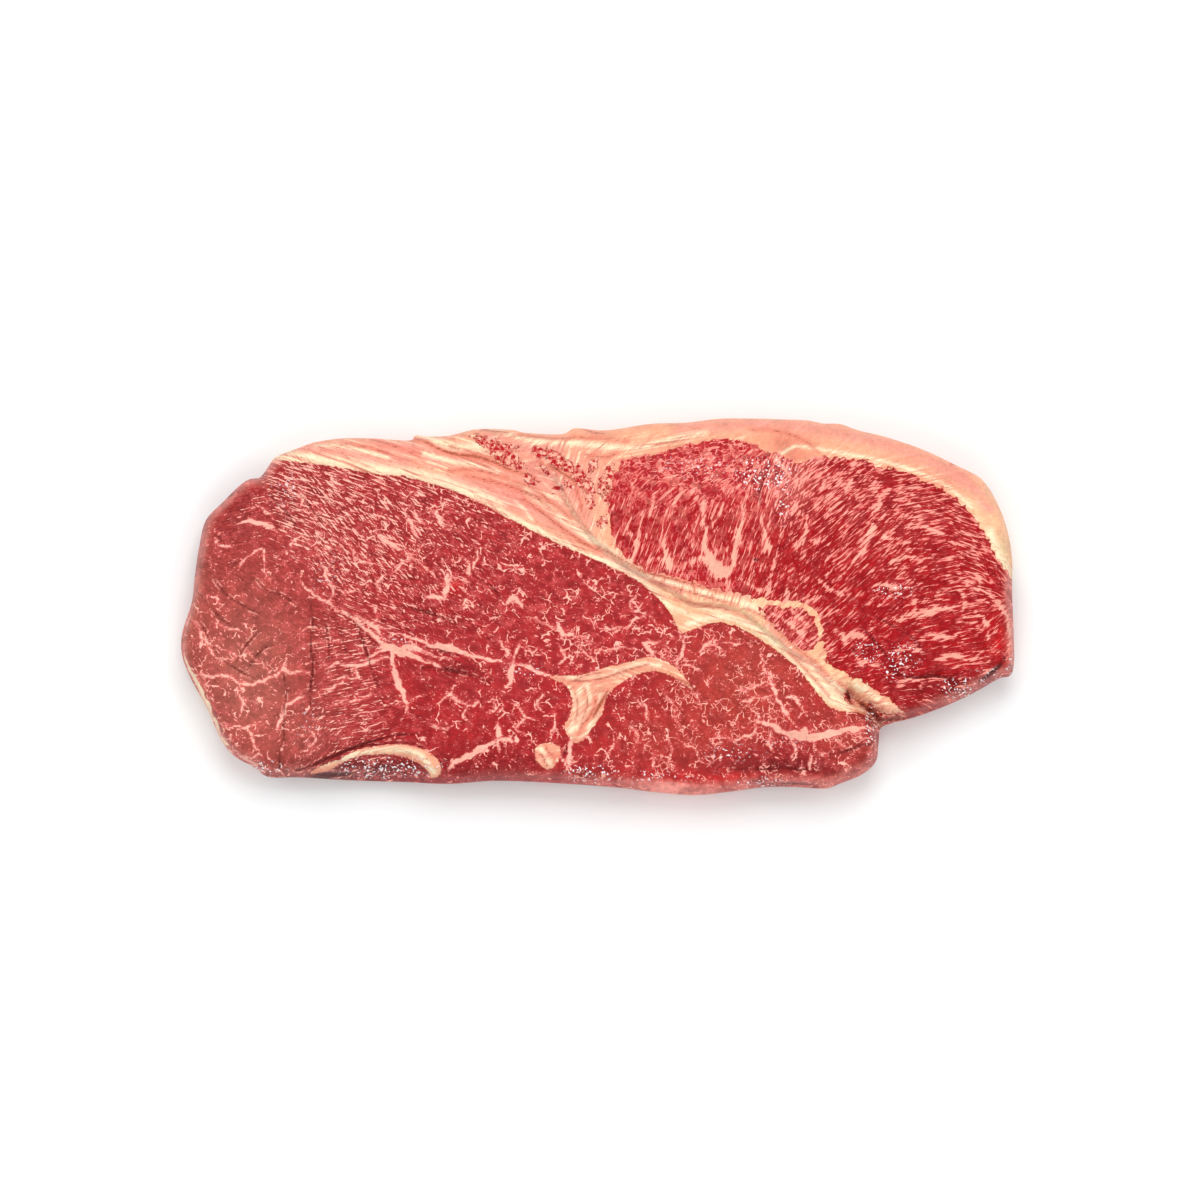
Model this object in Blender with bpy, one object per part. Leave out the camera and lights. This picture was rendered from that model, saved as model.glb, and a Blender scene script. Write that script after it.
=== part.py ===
"""Raw sirloin steak: one boneless slice across the hip, lying flat on its cut face.

The slice has a large rump muscle on the left, a well marbled cap muscle on the right under a thick
rim of fat, and a smaller muscle at the front right. A seam of fat crosses the slice between them and
ends in a cleft at the front. It is one piece of meat, so it is one solid.

Frame: +X along the slice, +Y towards the fat rim at the back, +Z up. The origin is on the resting
face, at the middle of the slice's length and width. Sizes below are in millimetres.
"""

import math

import bmesh
import bpy
from mathutils import Vector, noise

MM = 0.001

# Driving dimensions
STEAK_LENGTH = 280.0
STEAK_WIDTH = 127.0
CUT_THICKNESS = 21.5
POINT_SPACING = 2.85
GRID_SPACING = 3.1
GRID_MARGIN = 1.7

# The widest outline, clockwise from the left end, seen from above. It is fitted to the length and width.
OUTLINE = (
    (-140.1, -11.0), (-139.0, -5.5), (-136.6, 2.0), (-135.6, 11.0), (-134.3, 20.0), (-132.0, 29.5),
    (-126.0, 36.0), (-121.0, 41.0), (-117.5, 43.4), (-114.0, 44.0), (-111.5, 46.8), (-108.5, 50.6),
    (-101.0, 53.7), (-94.5, 56.0), (-85.0, 57.2), (-75.0, 57.1), (-63.5, 56.5), (-61.3, 58.3),
    (-57.0, 57.8), (-50.0, 58.1), (-40.5, 60.2), (-29.0, 59.9), (-24.0, 58.9), (-12.0, 58.5),
    (-7.5, 60.6), (1.0, 59.8), (8.0, 60.4), (18.0, 62.0), (30.0, 62.5), (42.0, 63.8), (56.0, 63.7),
    (70.0, 63.3), (76.0, 62.2), (82.0, 62.0), (88.0, 59.9), (98.0, 57.4), (110.0, 53.2), (122.0, 47.5),
    (129.5, 43.3), (134.5, 36.0), (138.0, 27.0), (139.8, 17.0), (139.8, 5.0), (140.3, -10.0),
    (140.3, -19.0), (139.0, -23.0), (135.0, -24.1), (126.0, -29.2), (116.0, -33.7), (106.0, -37.3),
    (98.0, -39.3), (95.3, -41.0), (94.6, -46.0), (93.6, -52.0), (89.0, -56.3), (82.0, -59.2),
    (76.5, -61.0), (66.0, -60.5), (56.0, -60.6), (45.0, -62.0), (33.0, -63.2), (20.0, -62.3),
    (8.0, -60.8), (-6.0, -59.7), (-18.0, -59.0), (-34.0, -58.4), (-50.0, -59.4), (-66.0, -58.6),
    (-85.0, -58.0), (-100.0, -57.2), (-110.5, -57.0), (-115.0, -54.0), (-122.0, -50.0),
    (-126.5, -44.5), (-131.0, -34.5), (-136.5, -24.5), (-139.6, -17.0),
)

# The side's profile from the resting face to the cut face: share of the height, then how far in it lies.
# The step at no inset is the widest one. Soft meat rounds in more below than above.
SIDE_PROFILE = ((1.0, 4.6), (0.955, 2.7), (0.86, 1.25), (0.7, 0.35), (0.45, 0.0), (0.22, 0.5), (0.07, 1.9), (0.0, 4.2))
SIDE_UNEVENNESS = 0.55
SIDE_WAVELENGTH = 17.0

# Broad swells (+) and sags (-) of the cut face: middle x, middle y, reach along x, reach along y, height
SWELLS = (
    (97.0, 18.0, 44.0, 30.0, 2.6),
    (30.0, 34.0, 30.0, 16.0, 1.0),
    (55.0, -32.0, 34.0, 17.0, 1.5),
    (-58.0, 18.0, 40.0, 19.0, 1.2),
    (-35.0, -38.0, 24.0, 13.0, 0.9),
    (-132.0, -20.0, 24.0, 40.0, -3.6),
    (-118.0, 38.0, 16.0, 12.0, -2.2),
    (-73.0, -59.0, 18.0, 6.6, -9.0),
    (-107.0, -57.0, 12.0, 6.0, -3.0),
    (124.0, -30.0, 20.0, 7.0, -3.2),
)

# Lines along which the cut face rises (+) or sinks (-): height, half width, then the way it runs
FAT_SEAM = ((-106, 50), (-80, 47.5), (-55, 43), (-30, 32), (-5, 18.5), (15, 9), (34, 0), (52, -7), (66, -17), (78, -30))
CAP_RIM = ((-35, 57), (0, 56), (35, 60), (62, 58), (92, 52), (112, 46.5), (126, 38), (134, 26), (137, 14))
FAT_FORK = ((30, -27), (24, -22), (14, -20), (0, -23.5), (-7, -28), (-7, -38), (-5, -44))
FRONT_ARCH = ((-93, -54), (-86, -51.5), (-76, -48.5), (-66, -47.5), (-59, -50), (-55, -56))
SEAM_FOLD = ((-65, 51.5), (-50, 47), (-30, 39.5), (-15, 30.5), (-5, 22), (8, 14.5), (18, 10.5))
UPPER_FOLD = ((-62, 57), (-55, 53), (-42, 50.5), (-31, 46), (-19, 42.5))
POCKET_FOLD = ((-18, 47.5), (-11, 44), (-6.5, 40), (-5.5, 33))
CLEFT = ((85, -31), (89, -35), (93, -38.5), (97, -42))
MUSCLE_SEAM = ((-63, -1), (-50, -5.5), (-35, -16), (-24, -21))
DARK_CREASE = ((-56, -20.8), (-47, -22), (-37, -25.5))
ARCH_FOLD = ((-99, -54.5), (-88, -50), (-76, -44.8), (-66, -42.5), (-57, -43))
LOBE_CREASE = ((-95, 0), (-95.5, -14), (-96, -28))
LEFT_CREASE = ((-105, -21), (-104.5, -36), (-105.5, -54))
CROSS_CREASE = ((-82, -6), (-79, -15), (-75.5, -25))
SHOULDER_CREASE = ((-117, 39), (-109, 38), (-103, 31), (-95, 20))
FRONT_CREASE = ((38, -55.5), (54, -55.5), (66, -55), (79, -57))
CAP_CREASE = ((103, -21), (111, -24.5), (120, -26))
RELIEF = (
    (1.0, 3.6, FAT_SEAM),
    (0.9, 5.0, CAP_RIM),
    (0.8, 2.6, FAT_FORK),
    (1.6, 2.3, FRONT_ARCH),
    (-1.2, 1.9, SEAM_FOLD),
    (-1.5, 1.9, UPPER_FOLD),
    (-1.0, 1.7, POCKET_FOLD),
    (-0.8, 1.9, MUSCLE_SEAM),
    (-1.2, 2.0, DARK_CREASE),
    (-1.3, 2.0, ARCH_FOLD),
    (-1.2, 2.0, LOBE_CREASE),
    (-1.0, 2.0, LEFT_CREASE),
    (-0.8, 2.0, CROSS_CREASE),
    (-1.1, 2.0, SHOULDER_CREASE),
    (-1.1, 2.0, FRONT_CREASE),
    (-1.1, 2.0, CAP_CREASE),
    (-6.5, 2.6, CLEFT),
)
MUSCLE_UNEVENNESS = 0.4
MUSCLE_WAVELENGTH = 13.0

RAW_BEEF = (0.56, 0.105, 0.085, 1.0)
WET_ROUGHNESS = 0.38


def clear_scene():
    for old in list(bpy.data.objects):
        bpy.data.objects.remove(old)


def smooth_point(before, start, end, after, t):
    """A point of the Catmull-Rom curve between start and end."""
    return 0.5 * (
        2 * start
        + (end - before) * t
        + (2 * before - 5 * start + 4 * end - after) * t * t
        + (3 * start - before - 3 * end + after) * t * t * t
    )


def smooth_loop(points, steps=12):
    """The closed smooth curve through the points, finely divided."""
    corners = [Vector(point) for point in points]
    count = len(corners)
    curve = []
    for i in range(count):
        four = [corners[(i + k) % count] for k in (-1, 0, 1, 2)]
        curve += [smooth_point(*four, step / steps) for step in range(steps)]
    return curve


def even_loop(curve, spacing):
    """The same closed curve with its points an even distance apart."""
    lengths = [(curve[(i + 1) % len(curve)] - curve[i]).length for i in range(len(curve))]
    count = round(sum(lengths) / spacing)
    stride = sum(lengths) / count
    evened, travelled, i = [], 0.0, 0
    for k in range(count):
        while travelled + lengths[i] < k * stride:
            travelled += lengths[i]
            i += 1
        share = (k * stride - travelled) / lengths[i]
        evened.append(curve[i].lerp(curve[(i + 1) % len(curve)], share))
    return evened


def fit_to_size(loop):
    """The loop moved and scaled so that it is centred and exactly the steak's length and width."""
    low = Vector((min(p.x for p in loop), min(p.y for p in loop)))
    high = Vector((max(p.x for p in loop), max(p.y for p in loop)))
    middle = (low + high) / 2
    scale = Vector((STEAK_LENGTH / (high.x - low.x), STEAK_WIDTH / (high.y - low.y)))
    return [(p - middle) * scale for p in loop]


def inward_ways(loop, reach=2):
    """For each point of the clockwise loop, the direction into the steak, eased round corners."""
    count = len(loop)
    ways = []
    for i in range(count):
        along = loop[(i + reach) % count] - loop[(i - reach) % count]
        ways.append(Vector((along.y, -along.x)).normalized())
    return ways


def distance_to_path(x, y, path):
    """The distance from a point to a path of straight runs."""
    nearest = math.inf
    for (ax, ay), (bx, by) in zip(path, path[1:]):
        dx, dy = bx - ax, by - ay
        t = ((x - ax) * dx + (y - ay) * dy) / (dx * dx + dy * dy)
        t = min(1.0, max(0.0, t))
        nearest = min(nearest, math.hypot(x - ax - t * dx, y - ay - t * dy))
    return nearest


def cut_face_height(x, y):
    """The height of the cut face above the resting face."""
    height = CUT_THICKNESS
    for middle_x, middle_y, reach_x, reach_y, rise in SWELLS:
        height += rise * math.exp(-(((x - middle_x) / reach_x) ** 2) - ((y - middle_y) / reach_y) ** 2)
    for rise, half_width, path in RELIEF:
        height += rise * math.exp(-((distance_to_path(x, y, path) / half_width) ** 2))
    place = Vector((x, y, 0.0)) / MUSCLE_WAVELENGTH
    return height + MUSCLE_UNEVENNESS * noise.noise(place)


def side_point(point, way, share, inset):
    """Where the side passes at a share of its height."""
    place = Vector((point.x, point.y, 45.0 * share)) / SIDE_WAVELENGTH
    unevenness = SIDE_UNEVENNESS * (1.0 + noise.noise(place)) if inset else 0.0
    spot = point + way * (inset + unevenness)
    height = cut_face_height(spot.x, spot.y)
    return Vector((spot.x, spot.y, share * height))


def is_inside(x, y, loop):
    """Whether a point lies inside the closed loop."""
    inside = False
    for start, end in zip(loop, loop[1:] + loop[:1]):
        if (start.y > y) != (end.y > y):
            if x < start.x + (y - start.y) / (end.y - start.y) * (end.x - start.x):
                inside = not inside
    return inside


def add_loop(bm, points):
    """A closed loop of edges through the points."""
    verts = [bm.verts.new(point) for point in points]
    return [bm.edges.new(pair) for pair in zip(verts, verts[1:] + verts[:1])]


def add_cut_face(bm, rim_edges, rim):
    """An even grid inside the rim, joined to it by a band of triangles, all at the height of the cut face."""
    columns, rows = round(STEAK_LENGTH / GRID_SPACING), round(STEAK_WIDTH / GRID_SPACING)
    grid = bmesh.ops.create_grid(bm, x_segments=columns, y_segments=rows, size=0.5)
    bmesh.ops.scale(bm, vec=(STEAK_LENGTH, STEAK_WIDTH, 1.0), verts=grid["verts"])
    closed_rim = [Vector((p.x, p.y)) for p in rim]
    path = [(p.x, p.y) for p in closed_rim + closed_rim[:1]]
    outside = [
        v for v in grid["verts"]
        if not is_inside(v.co.x, v.co.y, closed_rim) or distance_to_path(v.co.x, v.co.y, path) < GRID_MARGIN
    ]
    kept = set(grid["verts"]) - set(outside)
    bmesh.ops.delete(bm, geom=outside, context="VERTS")
    loose = [v for v in kept if not v.link_faces]
    kept -= set(loose)
    bmesh.ops.delete(bm, geom=loose, context="VERTS")
    for v in kept:
        v.co.z = cut_face_height(v.co.x, v.co.y)
    grid_edges = {e for v in kept for e in v.link_edges if len(e.link_faces) == 1}
    bmesh.ops.triangle_fill(bm, use_beauty=True, edges=list(grid_edges) + rim_edges, normal=(0, 0, 1))


def make_steak(material):
    """The whole slice: cut face, side and flat resting face, as one closed solid."""
    outline = fit_to_size(even_loop(smooth_loop(OUTLINE), POINT_SPACING))
    ways = inward_ways(outline)
    rings = [
        [side_point(point, way, share, inset) for point, way in zip(outline, ways)]
        for share, inset in SIDE_PROFILE
    ]
    bm = bmesh.new()
    loops = [add_loop(bm, ring) for ring in rings]
    add_cut_face(bm, loops[0], rings[0])
    for upper, lower in zip(loops, loops[1:]):
        bmesh.ops.bridge_loops(bm, edges=upper + lower)
    bmesh.ops.edgeloop_fill(bm, edges=loops[-1])
    bmesh.ops.recalc_face_normals(bm, faces=bm.faces)
    bmesh.ops.scale(bm, vec=(MM, MM, MM), verts=bm.verts)
    mesh = bpy.data.meshes.new("steak")
    bm.to_mesh(mesh)
    bm.free()
    mesh.shade_smooth()
    mesh.materials.append(material)
    steak = bpy.data.objects.new("steak", mesh)
    bpy.context.scene.collection.objects.link(steak)


def make_raw_beef():
    material = bpy.data.materials.new("raw_beef")
    material.use_nodes = True
    surface = material.node_tree.nodes["Principled BSDF"]
    surface.inputs["Base Color"].default_value = RAW_BEEF
    surface.inputs["Roughness"].default_value = WET_ROUGHNESS
    surface.inputs["Metallic"].default_value = 0.0
    return material


def main():
    clear_scene()
    make_steak(make_raw_beef())


main()
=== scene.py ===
"""Raw sirloin steak: the whole slice with its fat, seams, veins and marbling, on a plain stage.

The slice is one closed mesh that stands for the solid node "steak". Where each muscle, band of fat,
vein and crease lies is drawn once in millimetres, seen from above, and kept on the mesh as smooth
distances. The material turns them into crisp edges and adds the fine marbling between them.
"""

import math

import bmesh
import bpy
import numpy as np
from bpy.props import FloatProperty, FloatVectorProperty, PointerProperty
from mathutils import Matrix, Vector, noise
from mathutils.kdtree import KDTree


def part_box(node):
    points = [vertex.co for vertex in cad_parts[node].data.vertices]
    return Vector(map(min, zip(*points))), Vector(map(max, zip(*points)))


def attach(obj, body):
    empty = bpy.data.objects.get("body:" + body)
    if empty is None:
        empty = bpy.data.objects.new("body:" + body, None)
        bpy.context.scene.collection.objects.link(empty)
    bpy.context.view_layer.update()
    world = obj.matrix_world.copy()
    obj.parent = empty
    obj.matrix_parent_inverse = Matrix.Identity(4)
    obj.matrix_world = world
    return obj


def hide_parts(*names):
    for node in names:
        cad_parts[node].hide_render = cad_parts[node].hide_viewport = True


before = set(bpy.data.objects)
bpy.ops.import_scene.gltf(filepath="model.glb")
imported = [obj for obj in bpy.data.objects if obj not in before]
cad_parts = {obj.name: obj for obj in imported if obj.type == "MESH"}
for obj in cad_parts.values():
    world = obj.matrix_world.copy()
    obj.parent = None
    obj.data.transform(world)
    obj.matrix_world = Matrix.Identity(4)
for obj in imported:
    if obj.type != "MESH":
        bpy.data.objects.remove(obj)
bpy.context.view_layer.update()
LOW_CORNER, HIGH_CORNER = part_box("steak")

bl_info = {
    "name": "Raw sirloin steak",
    "version": (1, 0, 0),
    "blender": (4, 5, 0),
    "location": "View3D > Sidebar > Steak",
    "description": "A raw sirloin steak with fat rim, seams and marbling, and its stage",
    "category": "Object",
}

MM = 0.001

# The size that everything below is drawn for, in millimetres
DRAWN_LENGTH = 280.0
DRAWN_WIDTH = 127.0
DRAWN_HEIGHT = 24.17
CUT_THICKNESS = 21.5

# Mesh spacing
TOP_SPACING = 0.68
RING_SPACING = 0.68
UNDERSIDE_SPACING = 2.2

# The widest outline, clockwise from the left end, seen from above
OUTLINE = (
    (-140.1, -11.0), (-139.0, -5.5), (-136.6, 2.0), (-135.6, 11.0), (-134.3, 20.0), (-132.0, 29.5),
    (-126.0, 36.0), (-121.0, 41.0), (-117.5, 43.4), (-114.0, 44.0), (-111.5, 46.8), (-108.5, 50.6),
    (-101.0, 53.7), (-94.5, 56.0), (-85.0, 57.2), (-75.0, 57.1), (-63.5, 56.5), (-61.3, 58.3),
    (-57.0, 57.8), (-50.0, 58.1), (-40.5, 60.2), (-29.0, 59.9), (-24.0, 58.9), (-12.0, 58.5),
    (-7.5, 60.6), (1.0, 59.8), (8.0, 60.4), (18.0, 62.0), (30.0, 62.5), (42.0, 63.8), (56.0, 63.7),
    (70.0, 63.3), (76.0, 62.2), (82.0, 62.0), (88.0, 59.9), (98.0, 57.4), (110.0, 53.2), (122.0, 47.5),
    (129.5, 43.3), (134.5, 36.0), (138.0, 27.0), (139.8, 17.0), (139.8, 5.0), (140.3, -10.0),
    (140.3, -19.0), (139.0, -23.0), (135.0, -24.1), (126.0, -29.2), (116.0, -33.7), (106.0, -37.3),
    (98.0, -39.3), (95.3, -41.0), (94.6, -46.0), (93.6, -52.0), (89.0, -56.3), (82.0, -59.2),
    (76.5, -61.0), (66.0, -60.5), (56.0, -60.6), (45.0, -62.0), (33.0, -63.2), (20.0, -62.3),
    (8.0, -60.8), (-6.0, -59.7), (-18.0, -59.0), (-34.0, -58.4), (-50.0, -59.4), (-66.0, -58.6),
    (-85.0, -58.0), (-100.0, -57.2), (-110.5, -57.0), (-115.0, -54.0), (-122.0, -50.0),
    (-126.5, -44.5), (-131.0, -34.5), (-136.5, -24.5), (-139.6, -17.0),
)

# The side from the cut face down to the resting face: share of the height, then how far in it lies
SIDE_PROFILE = ((1.0, 4.6), (0.955, 2.7), (0.86, 1.25), (0.7, 0.35), (0.45, 0.0), (0.22, 0.5), (0.07, 1.9), (0.0, 4.2))
SIDE_UNEVENNESS = 0.55
SIDE_WAVELENGTH = 17.0
SIDE_RAGGEDNESS = 0.35
# How far either way the side looks along the outline for its direction inwards
CORNER_EASING = 5.7

# Broad swells (+) and sags (-) of the cut face: middle x, middle y, reach along x, reach along y, height
SWELLS = (
    (97.0, 18.0, 44.0, 30.0, 2.6),
    (30.0, 34.0, 30.0, 16.0, 1.0),
    (55.0, -32.0, 34.0, 17.0, 1.5),
    (-58.0, 18.0, 40.0, 19.0, 1.2),
    (-35.0, -38.0, 24.0, 13.0, 0.9),
    (-132.0, -20.0, 24.0, 40.0, -3.6),
    (-118.0, 38.0, 16.0, 12.0, -2.2),
    (-73.0, -59.0, 18.0, 6.6, -9.0),
    (-107.0, -57.0, 12.0, 6.0, -3.0),
    (124.0, -30.0, 20.0, 7.0, -3.2),
)

# Lines along which the cut face rises (+) or sinks (-): height, half width, then the way it runs
FAT_SEAM = ((-106, 50), (-80, 47.5), (-55, 43), (-30, 32), (-5, 18.5), (15, 9), (34, 0), (52, -7), (66, -17), (78, -30))
CAP_RIM = ((-35, 57), (0, 56), (35, 60), (62, 58), (92, 52), (112, 46.5), (126, 38), (134, 26), (137, 14))
FORK_RIDGE = ((30, -27), (24, -22), (14, -20), (0, -23.5), (-7, -28), (-7, -38), (-5, -44))
FRONT_ARCH = ((-93, -54), (-86, -51.5), (-76, -48.5), (-66, -47.5), (-59, -50), (-55, -56))
SEAM_FOLD = ((-65, 51.5), (-50, 47), (-30, 39.5), (-15, 30.5), (-5, 22), (8, 14.5), (18, 10.5))
UPPER_FOLD = ((-62, 57), (-55, 53), (-42, 50.5), (-31, 46), (-19, 42.5))
POCKET_FOLD = ((-18, 47.5), (-11, 44), (-6.5, 40), (-5.5, 33))
CLEFT = ((85, -31), (89, -35), (93, -38.5), (97, -42))
MUSCLE_SEAM = ((-63, -1), (-50, -5.5), (-35, -16), (-24, -21))
DARK_CREASE = ((-56, -20.8), (-47, -22), (-37, -25.5))
ARCH_FOLD = ((-99, -54.5), (-88, -50), (-76, -44.8), (-66, -42.5), (-57, -43))
LOBE_CREASE = ((-95, 0), (-95.5, -14), (-96, -28))
LEFT_CREASE = ((-105, -21), (-104.5, -36), (-105.5, -54))
CROSS_CREASE = ((-82, -6), (-79, -15), (-75.5, -25))
SHOULDER_CREASE = ((-117, 39), (-109, 38), (-103, 31), (-95, 20))
FRONT_CREASE = ((38, -55.5), (54, -55.5), (66, -55), (79, -57))
CAP_CREASE = ((103, -21), (111, -24.5), (120, -26))
RELIEF = (
    (1.0, 3.6, FAT_SEAM),
    (0.9, 5.0, CAP_RIM),
    (0.8, 2.6, FORK_RIDGE),
    (1.6, 2.3, FRONT_ARCH),
    (-1.2, 1.9, SEAM_FOLD),
    (-1.5, 1.9, UPPER_FOLD),
    (-1.0, 1.7, POCKET_FOLD),
    (-0.8, 1.9, MUSCLE_SEAM),
    (-1.2, 2.0, DARK_CREASE),
    (-1.3, 2.0, ARCH_FOLD),
    (-1.2, 2.0, LOBE_CREASE),
    (-1.0, 2.0, LEFT_CREASE),
    (-0.8, 2.0, CROSS_CREASE),
    (-1.1, 2.0, SHOULDER_CREASE),
    (-1.1, 2.0, FRONT_CREASE),
    (-1.1, 2.0, CAP_CREASE),
    (-6.5, 2.6, CLEFT),
)

# Where the fat seam meets the large muscle, and where it meets the small front muscle
SEAM_LOWER = (
    (-107, 48.5), (-95, 46.8), (-85, 45.5), (-80, 44.3), (-70, 42.8), (-65, 42.7), (-60, 41.5), (-50, 38.6),
    (-45, 36.5), (-40, 34), (-35, 31.5), (-30, 28.5), (-25, 26), (-20, 23.5), (-15, 21), (-10, 18.7),
    (-5, 16.5), (0, 14.3), (5, 12), (9, 10), (15, 6.5), (19, 3), (22, 0), (25, -4), (27, -8.5),
)
FRONT_MUSCLE_TOP = (
    (28.5, -10), (33, -8.3), (37, -6.8), (41, -6.5), (46, -7.5), (50, -9.5), (55, -12.5), (60, -16), (65, -20),
    (68, -23), (71, -27), (74, -31), (77, -34.5), (80, -36), (88, -36.5), (91, -38), (96, -41.5),
)
# The marbled cap muscle: along the seam, up the right end, and back under the fat rim
CAP_LOWER = (
    (10, 14.5), (15, 11.8), (18, 10.3), (30, 7.5), (40, 4.5), (50, 2.5), (56, 0.9), (62, 0.7), (67, 0.3),
    (71, -1.0), (74.2, -4), (75.2, -9), (75.4, -14), (76.2, -19), (79, -22), (83, -23.5), (90, -27), (95, -31),
    (100, -34.5), (106, -38.5),
)
CAP_UPPER = (
    (145, 8), (138.5, 9), (134.5, 14), (131.5, 18.5), (129.5, 23), (127, 27), (124, 31), (120, 35), (115, 38.5),
    (110, 41), (105, 43), (100, 44.7), (95, 46), (90, 47.5), (82, 48.8), (75, 49.6), (71, 48.5), (67, 46.5),
    (64, 48.8), (61, 49.6), (57, 51), (53, 52.5), (49, 54.6), (43, 55.6), (36, 54.8), (28, 53), (20, 50.6),
    (13, 49), (8, 48), (5.5, 43), (5, 38), (3.5, 33), (3.6, 28), (4.5, 23), (7, 18.5),
)
ISLAND = (
    (54, -2.0), (59, -0.9), (64.4, -1.1), (69, -2.2), (72, -4.5), (73.7, -8), (73.9, -12), (72.6, -15.4), (69, -16),
    (65, -14), (61.4, -10.6), (57.4, -6.2),
)

LARGE_MUSCLES = SEAM_LOWER + FRONT_MUSCLE_TOP + ((100, -48), (100, -80), (-155, -80), (-155, 40), (-113, 47.5))
CAP_MUSCLE = CAP_LOWER + ((155, -38.5),) + CAP_UPPER

# Fat inside the muscles, each as a closed outline
FAT_FORK = (
    (-17, -24.3), (-10, -24.3), (-5, -24), (0, -22.5), (5, -21), (10, -20), (14, -18.7), (17, -18), (20, -18.5),
    (24, -20), (27, -22.5), (29.5, -25.5), (32, -29.2), (28, -26.5), (25, -24.6), (21, -23), (17, -22.8),
    (12, -24.3), (8, -26.5), (5, -29), (3, -31), (2.5, -33), (1.5, -37), (-2, -42), (-5, -46), (-8, -46.5),
    (-10, -44), (-11, -41), (-9, -37), (-8.5, -33), (-9.5, -29), (-12, -26.5),
)
FAT_ARCH = (
    (-96, -56.5), (-93, -54.6), (-86, -52.3), (-82, -50), (-78, -48.7), (-72, -47.9), (-66, -47.3), (-60, -48.3),
    (-56, -50), (-53, -53), (-52.2, -56.5), (-55.3, -58), (-56.5, -56), (-60, -53), (-65, -51.2), (-70, -50.4),
    (-80, -51), (-86, -53.6), (-90, -55.8),
)
FAT_KNOB = (
    (-20.5, -48.5), (-17, -46.8), (-13.5, -47.5), (-12.2, -50), (-13.5, -53.5), (-16, -55.6), (-19, -54),
    (-20.6, -51.5),
)
FAT_PATCHES = (FAT_FORK, FAT_ARCH, FAT_KNOB)

# Red meat in the fat pocket and by the seam's tail: middle x, middle y, half length, half width, slant in degrees
BLOTCHES = (
    (-38.0, 54.2, 4.6, 2.0, -24), (-33.0, 51.4, 5.2, 2.8, -36), (-29.4, 48.4, 4.4, 2.4, -30),
    (-29.0, 52.4, 2.6, 1.4, 10), (-26.2, 46.6, 3.0, 1.5, -10), (-22.6, 41.8, 2.6, 1.6, -35),
    (-19.6, 51.0, 3.6, 1.8, -38), (-14.6, 48.6, 4.6, 2.6, -34), (-10.2, 46.4, 3.6, 2.2, -40),
    (-6.6, 43.6, 4.0, 2.4, -58), (-3.6, 39.6, 3.6, 2.0, -58), (-13.8, 38.2, 1.8, 1.2, 12),
    (-18.0, 45.4, 2.6, 1.2, -60), (-2.8, 34.6, 2.8, 1.7, -80), (1.8, 39.4, 4.2, 1.6, 80), (-1.6, 46.0, 3.0, 1.3, 62),
    (4.0, 36.0, 4.0, 1.8, 80), (4.2, 42.6, 3.8, 1.6, 84), (2.2, 27.4, 2.6, 1.7, 40), (6.0, 26.0, 2.4, 1.6, 60),
    (-9.6, 40.0, 1.8, 1.0, -50), (84.2, -30.8, 2.8, 1.5, -68), (90.6, -35.0, 3.0, 1.2, -40),
    (94.4, -37.6, 3.6, 1.7, -30), (99.0, -38.6, 5.0, 2.2, -4), (105.5, -37.4, 4.0, 1.5, 14),
)

# Fat veins, as half width and then the way they run. The fingers are widest where they start
CAP_FINGERS = (
    (2.8, ((40.6, 11), (38.4, 13.4), (36.6, 17), (36.0, 22), (35.4, 27), (35.2, 34))),
    (1.5, ((38, 14.6), (33.6, 15), (30, 13), (25.6, 10))),
    (1.6, ((42.4, 10), (45.2, 13), (46, 17.6), (47.6, 23), (48.4, 28), (48, 34))),
    (1.5, ((47, 22), (47.8, 26), (49.4, 31), (50.6, 36))),
    (1.6, ((56.8, 18.4), (56, 23), (55.2, 27), (55, 32))),
    (1.9, ((24, 12.4), (22.8, 17), (22, 22), (21.8, 28))),
    (1.2, ((23.4, 15), (19.6, 15), (15.8, 13.8))),
    (0.9, ((30.4, 6), (30, 9.6), (30.6, 13))),
    (0.9, ((44.4, 3.6), (43.4, 6.6), (42.6, 10))),
    (1.0, ((54.6, 4), (51, 6), (46, 8.6))),
    (0.9, ((56.6, 2), (57.6, 8), (58.6, 13), (59.6, 18))),
    (0.9, ((63, 0), (63.4, 7), (65.8, 13))),
    (1.6, ((9, 12), (12, 16), (14, 21), (14, 26), (15.6, 31))),
    (1.2, ((13.6, 20), (10.6, 24), (10, 28))),
    (1.0, ((17.6, 30), (19.4, 34), (18.6, 38))),
    (1.0, ((25.6, 33), (28, 36.6), (27.6, 41))),
    (0.8, ((40.6, 30), (42.4, 35), (41.6, 40))),
    (1.3, ((60, 48), (63.6, 44), (66.6, 40), (66.4, 35))),
    (0.9, ((68.6, 45), (66.4, 42), (67.6, 38))),
    (0.7, ((10.4, 33), (12, 38), (11, 42), (13.6, 46))),
    (1.3, ((92.4, 25), (90.4, 21.6), (88.6, 18), (86.2, 14.6), (83.8, 11.6), (81, 8.4))),
    (0.9, ((94.6, 35), (94, 31.6), (91, 28.8), (89.6, 27))),
    (0.8, ((84.6, 41), (83.4, 37), (84.4, 33.4), (82.8, 30))),
    (0.9, ((75.6, 41), (74.6, 37), (76.2, 33))),
    (0.9, ((104, 33.6), (107.4, 32.4), (111.6, 30.6), (115.4, 30.2))),
    (1.0, ((110, 25), (114, 23.6), (117.4, 22.8), (118.6, 19.6), (121.4, 17), (124, 15.4))),
    (0.9, ((96, 22), (100.4, 21.4), (104.6, 23.4))),
    (0.9, ((98, 13.6), (102, 15.6), (106.6, 15), (110.4, 17))),
)
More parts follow.
